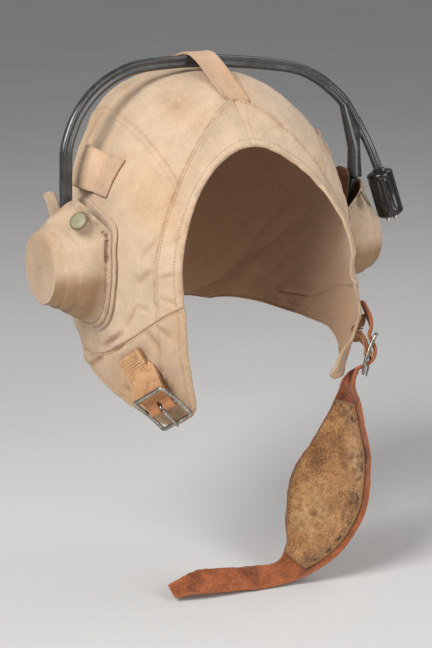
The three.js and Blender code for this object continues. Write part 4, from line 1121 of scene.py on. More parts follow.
def ear_cup(word, side):
    outer, degrees, at = cup_rings(side, CUP_OUTER, CUP_RINGS["outer"])
    around = np.roll(outer, -1, 1) - np.roll(outer, 1, 1)
    normal = unit(np.cross(around, np.gradient(outer, axis=0)))
    normal *= np.sign(np.mean(normal[-30:, :, 0]) * side)
    below = smooth((PLEATS["reach"] - np.abs(turned(degrees, PLEATS["middle"]))) / PLEATS["soft"])

    def band(name):
        return plateau(at, *CUP_BANDS[name])

    def line(name):
        ring, width = CUP_LINES[name]
        return bell(at - ring, width)

    front = bell(turned(degrees, 0), CUP_SOIL_AND_SHADE["front_width"])
    frayed = plateau(turned(degrees, FRAYED["middle"]), -FRAYED["spread"], FRAYED["spread"], 6)
    gap = frayed * line("gap")
    lip_angle, lip_width = CUP_SOIL_AND_SHADE["lip"]
    lip = bell(degrees - lip_angle, lip_width)
    ribs = CUP_DEPTH["ribs"] * band("ribs") + CUP_DEPTH["fine_ribs"] * band("fine_ribs")
    pleat = np.sin(np.radians(degrees * PLEATS["count"])) * ribs * below
    seam = -CUP_DEPTH["seam"] * bell(turned(degrees, CUP_SEAM["angle"]), CUP_SEAM["width"]) * band("seam")
    seam = seam - CUP_DEPTH["gap"] * gap
    lumps = layered(outer, CUP_LUMPS[:1]) * band("lumps") + layered(outer, CUP_LUMPS[1:])
    lift = (pleat + seam + lumps) * smooth(at - 0.4)
    outer = outer + normal * lift[..., None]
    inner, _, _ = cup_rings(side, CUP_INNER, CUP_RINGS["inner"])
    shape = skin(np.concatenate([outer[::-1], inner]))
    count = len(shape[0])
    cover = outer.size // 3
    marks = {"inside": np.zeros(count), "soil_and_shade": np.zeros(count), "painted_shade": np.zeros(count)}
    # The pocket's inner ply takes the inside colour, painted shade of its hollow.
    marks["inside"][cover:] = 1
    # Soil on the flange, the front and the lip; in the frayed gap it is painted shade.
    soil_and_shade = CUP_SOIL_AND_SHADE["flange"] * line("flange") + CUP_SOIL_AND_SHADE["front"] * front * band("front")
    soil_and_shade = soil_and_shade + lip * smooth((3.6 - at) / 1.4) + CUP_SOIL_AND_SHADE["gap"] * gap
    # Painted shade on the cup's lower half and its disc, less of it on the rim line as a painted highlight.
    painted_shade = below * band("below") + CUP_PAINTED_SHADE["disc"] * band("disc")
    painted_shade = painted_shade - CUP_PAINTED_SHADE["rim"] * line("rim")
    marks["soil_and_shade"][:cover] = clamp01(soil_and_shade)[::-1].reshape(-1)
    marks["painted_shade"][:cover] = painted_shade[::-1].reshape(-1)
    weave = np.zeros((count, 2))
    weave[:cover] = np.stack([degrees * CUP_MAP["around"], at * CUP_MAP["along"]], -1)[::-1].reshape(-1, 2)
    name = "ear_cup_" + word
    piece(name, shape, CUP, [name], uv=weave, marks=marks, wrap=360 * CUP_MAP["around"])


def edge_ring(scale, lift, under=0.0):
    """A ring that keeps to the pocket's edge."""
    return {"lift": lift, "round": 0.0, "radius": 0.0, "scale": scale, "under": under}


def ear_backing(word, side):
    degrees = np.broadcast_to(np.linspace(0, 360, CUP_AROUND, endpoint=False)[None, :], (24, CUP_AROUND))
    scale = np.linspace(0.02, 1.05, 24)[:, None]
    faces = [cup_points(side, degrees, edge_ring(scale, lift), 0.5, "edge") for lift in (BACKING, 0.0)]
    rim = (faces[0][-1:] + faces[1][-1:]) / 2 + (faces[0][-1:] - faces[0][-2:-1]) * 0.4
    shape = skin(np.concatenate([faces[0], rim, faces[1][::-1]]))
    marks = {"soil_and_shade": np.full(len(shape[0]), 0.4)}
    name = "ear_backing_" + word
    piece(name, shape, CUP, [name], uv=shape[0][:, 1:], marks=marks)


def flange_line(side, degrees, scale, lift):
    """A line on a cup's flange at a share of the edge's reach."""
    return cup_points(side, degrees, edge_ring(scale, lift, -0.2), CUP_SEAT)


# The stitch row round a cup's flange: its angles, its share of the edge's reach and its height.
CUP_ROW = {"from": 142, "to": 398, "scale": 0.945, "lift": 2.5}


def cup_stitching():
    rows = []
    overcast = []
    around = np.linspace(CUP_ROW["from"], CUP_ROW["to"], 500)
    frays = np.random.default_rng(17).uniform(-1, 1, (FRAYED["threads"], 3))
    fray_at = FRAYED["middle"] + FRAYED["spread"] * np.linspace(-1, 1.25, FRAYED["threads"])
    for _, side in SIDES:
        row = flange_line(side, around % 360, CUP_ROW["scale"], CUP_ROW["lift"])
        rows.append(resampled(row, 0.6))
        for angle, (lean, foot, reach) in zip(fray_at, frays):
            ends = np.array([0.0, 0.5, 1.0])
            scale = lerp(0.925 + 0.012 * foot, 0.972 + 0.02 * reach, ends)
            lift = 2.7 + 0.5 * np.sin(math.pi * ends)
            overcast.append(flange_line(side, np.maximum(0.5, angle + 1.6 * lean * ends), scale, lift))
    sew("cup_stitching", rows, 2.4, THREAD, seed=6)
    sew("cup_overcasting", overcast, 0.7, DARK_THREAD,
        length=0.9, width=0.45, uneven=0.35, seed=7)


def revolved(profile, foot, axis, sides=48, ribs=0, rib_depth=0.0):
    """A solid turned about an axis: profile rows are radius, height and how strongly its ribs show."""
    axis = unit(axis)
    across = unit(np.cross(axis, vec(0.3, 0.9, 0.2)))
    other = np.cross(axis, across)
    angle = full_turn(sides)
    radius, height, ribbed = np.array(profile, float).T
    wave = 1 + rib_depth * ribbed[:, None] * (np.abs(np.cos(ribs * angle / 2)) ** 0.6 - 1)
    ring = radius[:, None] * wave
    ring = ring[..., None] * (np.cos(angle)[:, None] * across + np.sin(angle)[:, None] * other)
    return skin(foot + height[:, None, None] * axis + ring)


# Enamelled snaps. axis and shift are those of the left one, and rim is the outline below its dome, as shares
# of the radius and the thickness.
SNAP = {
    "radius": 5.8, "thick": 1.9, "axis": (0.72, -0.42, 0.55), "shift": (0.4, -1.5, -1.9),
    "rim": ((0.3, 0), (0.92, 0), (1, 0.18), (1.02, 0.4), (0.98, 0.6), (0.93, 0.6)),
}


def snap(word, side):
    """A domed enamel cap with a turned rim."""
    name = "snap_" + word
    low, high = (np.array(corner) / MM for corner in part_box(name))
    axis = unit(np.array(SNAP["axis"]) * (side, 1, 1))
    shift = np.array(SNAP["shift"]) * (side, 1, 1)
    foot = (low + high) / 2 + shift - axis * SNAP["thick"] / 2
    share = np.linspace(0, 1, 9)
    dome = [(SNAP["radius"] * 0.9 * math.cos(a), SNAP["thick"] * (0.62 + 0.5 * math.sin(a)), 0)
            for a in share * math.pi / 2 * 0.985]
    rim = [(SNAP["radius"] * r, SNAP["thick"] * h, 0) for r, h in SNAP["rim"]]
    shape = revolved(rim + dome, foot, axis)
    away = (shape[0] - foot) - ((shape[0] - foot) @ axis)[:, None] * axis
    marks = {"edge": smooth((norm(away) / SNAP["radius"] - 0.84) / 0.1)}
    piece(name, shape, ENAMEL, [name], marks=marks)


# The tab of the right pocket's cloth that stands up from the rear of its mouth, and the leather tongue
# that stands in the left cup's mouth.
LIP_TAB = {
    "foot": (-100.4, -2, -83.5), "tip": (-103.2, 0, -68.5), "widths": (6, 6.5), "across": (0.85, -0.5, 0),
    "bend": -0.9, "bow": 0.8, "corner": 2.2,
}
TONGUE = {
    "foot": (91.3, -23.5, -86), "tip": (94.6, -20.4, -64.5), "widths": (9, 10), "across": (0.87, -0.49, 0),
    "bend": -0.6, "bow": 0.6, "corner": 4.5,
}
STRIP_THICK = 1.6


def strip(place):
    """A short flat strip with a rounded tip that bows a little to its outer side."""
    foot, tip = np.array(place["foot"], float), np.array(place["tip"], float)
    bow, corner = place["bow"], place["corner"]
    along = unit(tip - foot)
    across = np.array(place["across"], float)
    across = unit(across - along * (across @ along))
    out = np.cross(across, along)
    s = np.linspace(0, 1, 34)[:, None, None]
    c = np.linspace(-1, 1, 15)[None, :, None]
    length = np.linalg.norm(tip - foot)
    near = clamp01((length * (1 - s) - corner) / -corner)
    half = lerp(place["widths"][0], place["widths"][1], s) / 2 - corner * (1 - np.sqrt(1 - near**2 * 0.96))
    middle = foot + along * length * s + across * (half * c + place["bend"] * (s**2 - 0.5 * s) * 2)
    middle = middle + out * (bow * np.sin(math.pi * s) * (1 - 0.3 * c**2) + 0.25 * np.sin(4 * c + 6 * s))
    shape, source, depth = wall(middle + out * STRIP_THICK / 2, middle - out * STRIP_THICK / 2)
    uv = np.stack(floats(length * s[..., 0], half[..., 0] * c[..., 0]), -1).reshape(-1, 2)[source]
    return shape, uv, {"soil_and_shade": np.where(depth == 0.5, 0.8, 0.2)}


def mouth_strips():
    shape, uv, marks = strip(LIP_TAB)
    piece("ear_cup_tab", shape, CUP, uv=uv, marks=marks)
    shape, uv, marks = strip(TONGUE)
    piece("pocket_tongue", shape, BROWN, ["pocket_tongue"], uv=uv, marks=marks)


for word, side in SIDES:
    ear_backing(word, side)
    ear_cup(word, side)
    snap(word, side)
cup_stitching()
mouth_strips()

# The headset lead: two cores side by side in rubber, from the right cup over the crown to the plug.
# share: its thickness there, as a share of the full one.
# groove: how deep the grooves between its cores are, sharp: how narrow, and full: how boxy its section is.
LEAD = {"thick": 8.0, "wide": 6.4, "groove": 0.36, "sharp": 14, "full": 0.85, "sides": 44, "steps": 420}
LEAD_ROUTE = table(
    "at x y z share",
    (0, -99, -16, -92, 1),
    (0.05, -100.3, -16.6, -75, 1),
    (0.11, -99.9, -16.5, -53, 1),
    (0.15, -99, -16, -41, 1),
    (0.19, -94.5, -14.5, -29.5, 1),
    (0.23, -88.3, -13, -19.4, 1),
    (0.28, -77.2, -11, -8.3, 1),
    (0.33, -62.7, -9, 0.2, 1),
    (0.39, -44.6, -7, 5.2, 1),
    (0.51, -1.6, -5, 6.9, 1),
    (0.6, 27.2, -5, 4.9, 1),
    (0.66, 49.2, -5, 2.4, 1),
    (0.72, 69.4, -6, -1.2, 1),
    (0.77, 84.4, -7, -8.1, 1),
    (0.8, 92.6, -8, -14.3, 1),
    (0.84, 100.5, -10, -21.8, 1),
    (0.88, 107.3, -12, -31.9, 0.94),
    (0.92, 113.5, -15, -42.8, 0.8),
    (0.97, 118.2, -19, -55.2, 0.78),
    (1, 122.2, -21.5, -67, 0.78),
)
# The moulded junction on the left: a web from the lead down to a boot, whose core enters the left cup.
JUNCTION = {
    "top": vec(101.6, -11, -26),
    "middle": vec(108.6, -14, -41),
    "boot": vec(106.9, -16, -53.5),
    "boot_end": vec(106.5, -17.6, -72.4),
    "inside": vec(102.5, -15, -86),
}
WEB_BALLS = (("top", 2.8), ("middle", 3.0), ("boot", 4.2))
BOOT = {"top": 4.2, "end": 4.9, "core": 2.4}
REMESH = 0.45


def hull(balls):
    """The convex shape round a few balls."""
    bm = bmesh.new()
    for middle, radius in balls:
        bmesh.ops.create_icosphere(bm, subdivisions=3, radius=radius, matrix=Matrix.Translation(middle))
    result = bmesh.ops.convex_hull(bm, input=bm.verts)
    bmesh.ops.delete(bm, geom=result["geom_interior"], context="VERTS")
    points = np.array([v.co for v in bm.verts])
    order = {v: i for i, v in enumerate(bm.verts)}
    faces = [[order[v] for v in f.verts] for f in bm.faces]
    bm.free()
    return points, faces


def rod(a, b, radius_a, radius_b):
    length = np.linalg.norm(b - a)
    profile = [(radius_a, 0, 0), (lerp(radius_a, radius_b, 0.5), length / 2, 0), (radius_b, length, 0)]
    return revolved(profile, a, b - a, 32)


def joined(shapes):
    """Several shapes as one list of points and faces."""
    points = []
    faces = []
    start = 0
    for some, polygons in shapes:
        points.append(some)
        faces += [[i + start for i in f] for f in facing_out(some, polygons)]
        start += len(some)
    return np.concatenate(points), faces


def blended(name, shapes, voxel, rounds):
    """Overlapping shapes melted into one skin."""
    points, faces = joined(shapes)
    obj = add_object(name + "_parts", add_mesh(name + "_parts", points, [], faces))
    melt = obj.modifiers.new("melt", "REMESH")
    melt.mode = "VOXEL"
    melt.voxel_size = voxel * MM
    ease = obj.modifiers.new("ease", "SMOOTH")
    ease.iterations = rounds
    made = applied(obj)
    points = np.array([v.co for v in made.vertices]) / MM
    faces = [list(f.vertices) for f in made.polygons]
    bpy.data.meshes.remove(made)
    return points, faces


def lead_arch():
    s = np.linspace(0, 1, LEAD["steps"])
    path = np.stack([column(LEAD_ROUTE, name, s) for name in "xyz"], -1)
    share = column(LEAD_ROUTE, "share", s)[:, None]
    angle = full_turn(LEAD["sides"])[None, :]
    beside = np.abs(np.cos(angle))
    pinch = 1 - LEAD["groove"] * beside ** LEAD["sharp"]
    wide = LEAD["wide"] / 2 * share * np.sign(np.cos(angle)) * beside ** LEAD["full"] * pinch
    tall = LEAD["thick"] / 2 * share * np.sin(angle)
    return tube(path, (wide, tall), (0, 1, 0))


def headset_lead():
    j = JUNCTION
    web = hull([(j[name], radius) for name, radius in WEB_BALLS])
    boot = rod(j["boot"], j["boot_end"], BOOT["top"], BOOT["end"])
    core = rod(lerp(j["boot_end"], j["boot"], 0.1), j["inside"], BOOT["core"], BOOT["core"])
    shape = blended("headset_lead", [lead_arch(), web, boot, core], REMESH, 8)
    piece("headset_lead", shape, RUBBER, ["headset_lead"])


# The plug on the lead's end, with its two contacts.
PLUG = {
    "top": vec(122.4, -21.6, -67.6), "foot": vec(130.8, -25.4, -97.8), "radius": 8.7, "neck": 4.2,
    "ribs": 8, "rib_depth": 0.1,
}
# The plug's outline below its neck, and about its foot: how far it lies inside the radius, how far it is
# from the top or past the foot, and how strongly the ribs show.
PLUG_HEAD = (
    (1.6, 1.9, 0), (0.6, 2.4, 0), (0, 3.4, 0), (0, 5.6, 0), (0.3, 6.1, 0), (0, 6.6, 0.3), (0, 7.6, 1),
)
PLUG_FOOT = (
    (0, -5.2, 1), (0, -4.6, 0), (0, -1.4, 0), (0.3, -0.5, 0), (0.9, 0, 0), (2, 0, 0), (2.4, 0.9, 0),
)
PLUG_ACROSS = unit(vec(0.62, -0.75, 0.27))
CONTACT = {"radius": 1.8, "proud": 4.2, "spread": 2.6, "gap": 0.3}


def plug():
    length = np.linalg.norm(PLUG["foot"] - PLUG["top"])
    axis = unit(PLUG["foot"] - PLUG["top"])
    r = PLUG["radius"]
    profile = [(1, 0, 0), (PLUG["neck"], 0, 0), (PLUG["neck"], 1.5, 0)]
    profile += [(r - inset, down, ribs) for inset, down, ribs in PLUG_HEAD]
    profile.append((r, length / 2, 1))
    profile += [(r - inset, length + past, ribs) for inset, past, ribs in PLUG_FOOT]
    profile.append((1, length + PLUG_FOOT[-1][1], 0))
    shape = revolved(profile, PLUG["top"], axis, 140, PLUG["ribs"], PLUG["rib_depth"])
    piece("plug_body", shape, RESIN, ["plug_body"])
    for i, way in enumerate((-1, 1)):
        foot = PLUG["foot"] + PLUG_ACROSS * way * CONTACT["spread"] + axis * CONTACT["gap"]
        size, tall = CONTACT["radius"], CONTACT["proud"]
        pin = [(0.5, 0, 0), (size, 0, 0), (size, tall * 0.55, 0)]
        pin += [(size * 0.85, tall * 0.85, 0), (size * 0.4, tall, 0)]
        name = "plug_contact_%d" % (i + 1)
        piece(name, revolved(pin, foot, axis, 24), CONTACT_STEEL, [name])


headset_lead()
plug()

# Keepers. The crown keeper is a strip sewn to the crown before and behind the lead, which it holds down.
# cut and slant: how much farther forward its front end reaches at its edges than in its middle.
CROWN_KEEPER = {
    "length": 82, "width": 16, "thick": 1.5, "front": -44.7, "back": 34, "cut": 2.6, "slant": 1.3,
    "skew": -6, "gap": 0.4, "rise": 10, "hump_y": -5, "hump": 17, "painted_shade": 0.22,
    "rows": (0.03, 0.1, 0.9, 0.97), "row_reach": 0.84,
}
# The side keepers: a strip on each temple, sewn at both ends, that stands off the hood as a loop between.
# full: how boxy the loop is, from 1 for a plain wave down to 0 for a box.
LOOP = {
    "length": 46, "width": 22, "thick": 1.6, "painted_shade": 0.0, "gap": 0.3, "rise": 6.6, "full": 0.7, "lean": 5,
    "from": 0.3, "to": 0.78,
    "front_y": -34, "back_y": 12, "front_z": -58, "back_z": -52,
    "quilted": np.linspace(0.035, 0.28, 9), "rows": (0.83, 0.95), "row_reach": 0.44,
}


# The keepers' uneven cloth, as depth, size and seed, and their raised edge, with how far soil reaches in.
KEEPER_ROUGH = ((0.3, 8, 31),)
KEEPER_EDGE = {"height": 0.25, "width": 2.4, "soil_and_shade": 1.0}


def crown_at(x, y):
    """The place (u, v) on the crown at x, y of the plan."""

    def u_at(v):
        share = (np.abs(x) / column(ARCHES, "sideX", v)) ** (column(ARCHES, "round", v) / 2)
        return np.sign(x) * SIDE_AT * np.arcsin(np.clip(share, 0, 1)) / (math.pi / 2)

    low = np.zeros(np.shape(x))
    high = np.full(np.shape(x), 0.6)
    for _ in range(40):
        middle = (low + high) / 2
        ahead = hood(u_at(middle), middle)[..., 1] < y
        low = np.where(ahead, middle, low)
        high = np.where(ahead, high, middle)
    return u_at(low), low


def crown_keeper_point(s, c, height):
    """A point of the crown keeper: s along it from the front, c across it, at a height in its thickness."""
    k = CROWN_KEEPER
    y = lerp(k["front"], k["back"], s)
    hump = np.maximum(0, 1 - ((y - k["hump_y"]) / (2 * k["hump"])) ** 2) ** 2

    def base_at(c):
        forward = (1 - s) * (k["cut"] * c**2 + k["slant"] * c)
        return cloth(*crown_at(k["skew"] * s + k["width"] * c / 2, y - forward), sewn=False)[0]

    low, middle, high = base_at(-1), base_at(0), base_at(1)
    c = np.asarray(c)[..., None]
    base = middle + (high - low) / 2 * c + ((high + low) / 2 - middle) * c**2
    stand = k["gap"] + k["rise"] * hump + height
    return base + stand[..., None] * vec(0, 0, 1)


def side_keeper_point(side, s, c, height):
    """A point of a side keeper: s along it from the front, c from its lower edge (-0.5) to its upper one."""
    in_loop = clamp01((s - LOOP["from"]) / (LOOP["to"] - LOOP["from"]))
    stand = LOOP["gap"] + LOOP["rise"] * np.sin(math.pi * in_loop) ** LOOP["full"] + height
    y = lerp(LOOP["front_y"], LOOP["back_y"], s) - LOOP["lean"] * c * (1 - s)
    z = lerp(LOOP["front_z"], LOOP["back_z"], s) + LOOP["width"] * c
    t, v = hood_at(side, y, z)
    base, normal, _ = cloth(side * t, v, sewn=False)
    return base + normal * stand[..., None]


def keeper_sheet(name, place, size, half):
    """A worn cloth strip whose points come from place(s, c, height)."""
    length, width = size["length"], size["width"]
    s, c = np.meshgrid(graded(length, coarse=1.2), lerp(-half, half, graded(width)), indexing="ij")
    flat = np.stack([s * length, c / half * width / 2], -1)
    edge = np.minimum.reduce([flat[..., 0], length - flat[..., 0], width / 2 - np.abs(flat[..., 1])])
    rough = layered(np.concatenate([flat, np.zeros_like(s)[..., None]], -1), KEEPER_ROUGH)
    rough += KEEPER_EDGE["height"] * plateau(edge, -1, KEEPER_EDGE["width"])
    shape, source, _ = wall(place(s, c, size["thick"] + rough), place(s, c, np.zeros_like(s)))
    soil_and_shade = bell(edge, KEEPER_EDGE["soil_and_shade"]).reshape(-1)[source]
    # The keeper's share of the painted-shade tint, laid evenly over it.
    marks = {"soil_and_shade": soil_and_shade, "painted_shade": np.full(len(source), size["painted_shade"])}
    piece(name, shape, KEEPER, [name], uv=flat.reshape(-1, 2)[source], marks=marks)


def keeper_rows(place, size, rows):
    """Lines across a keeper for its stitches."""
    c = np.linspace(-1, 1, 60) * size["row_reach"]
    return [resampled(place(np.full(60, s), c, np.full(60, size["thick"] + 0.2)), 0.5) for s in rows]


def keepers():
    keeper_sheet("crown_keeper", crown_keeper_point, CROWN_KEEPER, 1)
    lines = keeper_rows(crown_keeper_point, CROWN_KEEPER, CROWN_KEEPER["rows"])
    dots = []
    for word, side in SIDES:

        def place(s, c, height, side=side):
            return side_keeper_point(side, s, c, height)

        keeper_sheet("side_keeper_" + word, place, LOOP, 0.5)
        dots += keeper_rows(place, LOOP, LOOP["quilted"])
        lines += keeper_rows(place, LOOP, LOOP["rows"])
    sew("keeper_stitching", lines, 1.8, THREAD, length=1.0, width=0.55, seed=9)
    sew("keeper_quilting", dots, 1.6, PALE_THREAD,
        length=0.6, width=0.42, uneven=0.4, seed=10)


keepers()

# Buckles: a wire frame with a centre bar, held by the chin tab's eye, and a prong that turns on the bar.
# along: the frame's length, from its lower bar up to its upper bar. bar: the bar's own direction.
WIRE = 2.4
FRAME = {"width": 26, "length": 28, "corner": 1.5, "bow": 0.3, "dish": 1.5}
BUCKLES = {
    "right": {
        "middle": vec(-66.9, -76.3, -190.8),
        "along": vec(-0.708, 0.141, 0.689),
        "bar": vec(0.384, -0.752, 0.539),
    },
    "left": {
        "middle": vec(80.4, -75.4, -175.4),
        "along": vec(0.378, 0.032, 0.925),
        "bar": vec(0.542, 0.802, -0.25),
    },
}
for buckle in BUCKLES.values():
    buckle["along"] = unit(buckle["along"])
    buckle["bar"] = unit(buckle["bar"] - buckle["along"] * (buckle["bar"] @ buckle["along"]))
    buckle["out"] = np.cross(buckle["bar"], buckle["along"])


def at_buckle(buckle, across, up, out):
    """A point in a buckle's frame: along its bar, up its length and out of its face."""
    across, up, out = (a[..., None] for a in floats(across, up, out))
    return buckle["middle"] + buckle["bar"] * across + buckle["along"] * up + buckle["out"] * out


def frame_outline():
    """The middle line of the frame's wire, as across and up values."""
    corner = FRAME["corner"]
    x = (FRAME["width"] - WIRE) / 2
    y = (FRAME["length"] - WIRE) / 2
    turn = np.linspace(0, math.pi / 2, 10)
    ways = ((1, 1, 0), (-1, 1, 1), (-1, -1, 2), (1, -1, 3))
    path = [np.stack([sx * (x - corner) + corner * np.cos(turn + k * math.pi / 2),
                      sy * (y - corner) + corner * np.sin(turn + k * math.pi / 2)], 1) for sx, sy, k in ways]
    path = np.concatenate(path)
    loop = resampled(np.concatenate([np.column_stack([path, np.zeros(len(path))]),
                                     [[*path[0], 0]]]), 0.8)[:-1]
    bow = FRAME["bow"] * (1 - (loop[:, 1] / y) ** 2) * np.sign(loop[:, 0]) * (np.abs(loop[:, 0]) > x - 1)
    return loop[:, 0] + bow, loop[:, 1]


# Prongs: the eye's radius and the angles of its bend, the wire's radius and the tip's, the stem's length
# and how high its tip rests.
PRONG = {"eye": 2.1, "from": 250, "to": -70, "wire": 0.95, "tip": 0.75, "length": 14.8, "rest": 3.7}


def prong_shape(buckle):
    """A wire bent to an eye round the bar, with a tapered stem that rests on the lower bar."""
    turn = np.linspace(math.radians(PRONG["from"]), math.radians(PRONG["to"]), 34)
    up = -PRONG["eye"] * np.sin(turn + math.pi / 2)
    out = PRONG["eye"] * np.cos(turn + math.pi / 2)
    stem = np.linspace(0, 1, 26)[1:]
    up = np.concatenate([up, lerp(up[-1], -PRONG["length"] + 0.4, stem)])
    out = np.concatenate([out, lerp(out[-1], PRONG["rest"], stem ** 0.8)])
    path = resampled(at_buckle(buckle, 0.0, up, out), 0.45)
    share = np.linspace(0, 1, len(path))
    radius = lerp(PRONG["wire"], PRONG["tip"], smooth((share - 0.45) / 0.55))
    radius = radius * np.sqrt(1 - clamp01((share - 0.975) / 0.025) ** 2 * 0.9)
    return tube(path, round_section(radius, len(path), 18, 0.8), buckle["bar"])


def buckles():
    x, y = frame_outline()
    for word, _ in SIDES:
        buckle = BUCKLES[word]
        loop = at_buckle(buckle, x, y, FRAME["dish"] * (2 * y / FRAME["length"]) ** 2)
        frame_wire = tube(loop, round_section(WIRE / 2, len(loop), 20), buckle["out"], closed=True)
        reach = np.linspace(-1, 1, 24) * (FRAME["width"] / 2 - 1)
        bar = at_buckle(buckle, reach, 0.0, 0.0)
        bar_wire = tube(bar, round_section(WIRE / 2, len(bar), 20), buckle["out"])
        name = "buckle_frame_" + word
        piece(name, joined([frame_wire, bar_wire]), NICKEL, [name])
        body = LOOSE_PRONG if word == "right" else HELMET
        name = "buckle_prong_" + word
        piece(name, prong_shape(buckle), NICKEL, [name], body=body)


buckles()


def ribbon(middle, across, half, c, thick, bowl=0.0, offset=0.0, rough=0.0):
    """The two faces of a strap along a path: c runs over its width from -1 to 1."""
    along = along_path(middle)
    across = unit(across - along * np.sum(across * along, 1, keepdims=True))
    normal = np.cross(along, across)
    half = np.broadcast_to(np.asarray(half, float), (len(middle),))[:, None]
    bowl = np.broadcast_to(np.asarray(bowl, float), (len(middle),))[:, None]
    lift = bowl * (c**2 - 1) + offset
    face = middle[:, None] + across[:, None] * (half * c)[..., None]
    top = face + normal[:, None] * (lift + thick / 2 + rough)[..., None]
    return top, face + normal[:, None] * (lift - thick / 2)[..., None]


# Chin tabs: a doubled strap whose eye goes round the bar, under the upper bar and up to its sewn end.
# via: up and out of its middle in the buckle's frame. sewn: y and z of its middle on the flap.
# rise: how far it stands off the flap. flare: how much wider its sewn end is on each side.
# lap: how far its fingers run on under its full width. under: how much narrower its lower ply is.
# wave: how uneven its edges are. blush: how strongly it has darkened near the bar.
STRAP_WIDTH = 19
TAB = {
    "ply": 1.4, "step": 0.75, "thick": 3.0, "gap": 0.2, "steps": 120,
    "eye": 2.85, "slot": 3.6, "finger": 5.0, "lap": 0.6, "flared_over": 9,
    "under": 0.3, "wave": 0.12, "wave_rate": 1.1, "blush": 1.5, "blush_reach": 13,
    "rough": ((0.22, 2.6, 41), (0.3, 9, 42)),
}
# Its stitches: rows between two distances from the sewn end, lines along its sides, and their reach over it.
TAB_ROWS = {"count": 9, "from": 16, "to": 1.8, "sides": 22, "reach": 0.86}
TABS = {
    "right": {
        "via": ((6.5, -2.2), (12.8, -3.5)), "sewn": ((-54.4, -173.4), (-48.4, -162.6)),
        "rise": 0.7, "flare": 2,
    },
    "left": {
        "via": ((5.2, -3.3), (8.6, -8.2)), "sewn": ((-66.5, -163), (-63, -154)),
        "rise": 0.4, "flare": 0,
    },
}


def tab_path(word, side):
    """The middle of a tab from its buckle's bar to its sewn end, and the direction over its width."""
    buckle, tab = BUCKLES[word], TABS[word]
    y, z = np.array(tab["sewn"], float).T
    t, v = hood_at(side, y, z)
    base, normal, _ = cloth(side * t, v, sewn=False)
    sewn = base + normal * (tab["rise"] + TAB["gap"] + TAB["thick"] / 2)
    via = [at_buckle(buckle, 0.0, up, out) for up, out in tab["via"]]
    path = curve_through([at_buckle(buckle, 0.0, 0.6, -0.4), *via, *sewn], TAB["steps"])
    flat = unit(buckle["bar"] - normal[-1] * (buckle["bar"] @ normal[-1]))
    turn = clamp01(1.5 * np.linspace(0, 1, TAB["steps"]) - 0.3)[:, None]
    return path, unit(lerp(buckle["bar"], flat, turn)), normal[-1]


def chin_tab(word, side):
    path, across, outward = tab_path(word, side)
    gone = gone_along(path)
    half = STRAP_WIDTH / 2
    split = TAB["slot"] / STRAP_WIDTH
    flare = TABS[word]["flare"] * smooth((gone - TAB["finger"]) / TAB["flared_over"])
    low = gone < TAB["finger"]
    high = gone > TAB["finger"] - TAB["lap"]
    parts = [(high, -1, 1, 32), (low, -1, -split, 12), (low, split, 1, 12)]
    way = np.sign(np.cross(along_path(path), across)[-1] @ outward)
    shapes = []
    edges = []
    for layer in (-1, 1):
        for rows, c0, c1, count in parts:
            c = lerp(c0, c1, np.linspace(0, 1, count))[None, :] * np.ones((rows.sum(), 1))
            wave = TAB["wave"] * np.sin(gone[rows] * TAB["wave_rate"])
            width = half - TAB["under"] * (layer * way < 0) + wave + flare[rows]
            grain = np.stack([gone[rows][:, None] + 0 * c, c * half, 0 * c + layer], -1)
            rough = layered(grain, TAB["rough"])
            faces = ribbon(path[rows], across[rows], width, c, TAB["ply"], 0.0, layer * TAB["step"], rough)
            shape, _, depth = wall(*faces)
            shapes.append(shape)
            edges.append(depth == 0.5)
    buckle = BUCKLES[word]
    span = half - TAB["slot"] / 2
    r = TAB["eye"]
    roll = [(1, 0, 0), (r - 0.4, 0, 0), (r, 0.5, 0), (r, span / 2, 0), (r, span - 0.5, 0)]
    roll += [(r - 0.4, span, 0), (1, span, 0)]
    for start in (-half, TAB["slot"] / 2):
        shapes.append(revolved(roll, at_buckle(buckle, start, 0.0, 0.0), buckle["bar"], 36))
        edges.append(np.zeros(len(shapes[-1][0]), bool))
    name = "chin_tab_" + word
    points, faces = joined(shapes)
    near_bar = bell(norm(points - buckle["middle"]), TAB["blush_reach"])
    marks = {"edge": np.concatenate(edges) * 1.0, "blush": clamp01(near_bar * TAB["blush"])}
    piece(name, (points, faces), TAB_LEATHER, [name], marks=marks)
    c = np.linspace(-1, 1, 60) * TAB_ROWS["reach"]
    top = TAB["step"] + TAB["ply"] / 2 + 0.15
    normal = np.cross(along_path(path), across) * way
    lines = []
    for s in np.linspace(gone[-1] - TAB_ROWS["from"], gone[-1] - TAB_ROWS["to"], TAB_ROWS["count"]):
        k = int(np.argmin(np.abs(gone - s)))
        lines.append(path[k] + across[k] * ((half + flare[k]) * c)[:, None] + normal[k] * top)
    rows = gone > gone[-1] - TAB_ROWS["sides"]
    for c0 in (-TAB_ROWS["reach"], TAB_ROWS["reach"]):
        lines.append(path[rows] + across[rows] * (half + flare[rows])[:, None] * c0 + normal[rows] * top)
    return [resampled(line, 0.5) for line in lines]


tab_lines = [line for word, side in SIDES for line in chin_tab(word, side)]
sew("tab_stitching", tab_lines, 1.7, TAB_THREAD, length=1.1, width=0.85, uneven=0.4, seed=12)

# The chin strap, from its tip above the left buckle, through the frame to the chin cup and its tail.
# across: the direction over its width. bowl: how far the chin cup's middle lies below its edges.
STRAP = 2.2
# Its nap and its ragged edges, as rows of depth, size and seed. In the buckle, from one share of its length
# to another with soft ends, it is pressed flatter.
STRAP_ROUGH = ((0.3, 1.7, 52), (0.35, 6, 53))
STRAP_RAGGED = ((0.22, 5, 51),)
IN_BUCKLE = (0.06, 0.275, 0.02)
PRESSED = 0.8
UNDER = WIRE / 2 + 0.3 + STRAP / 2


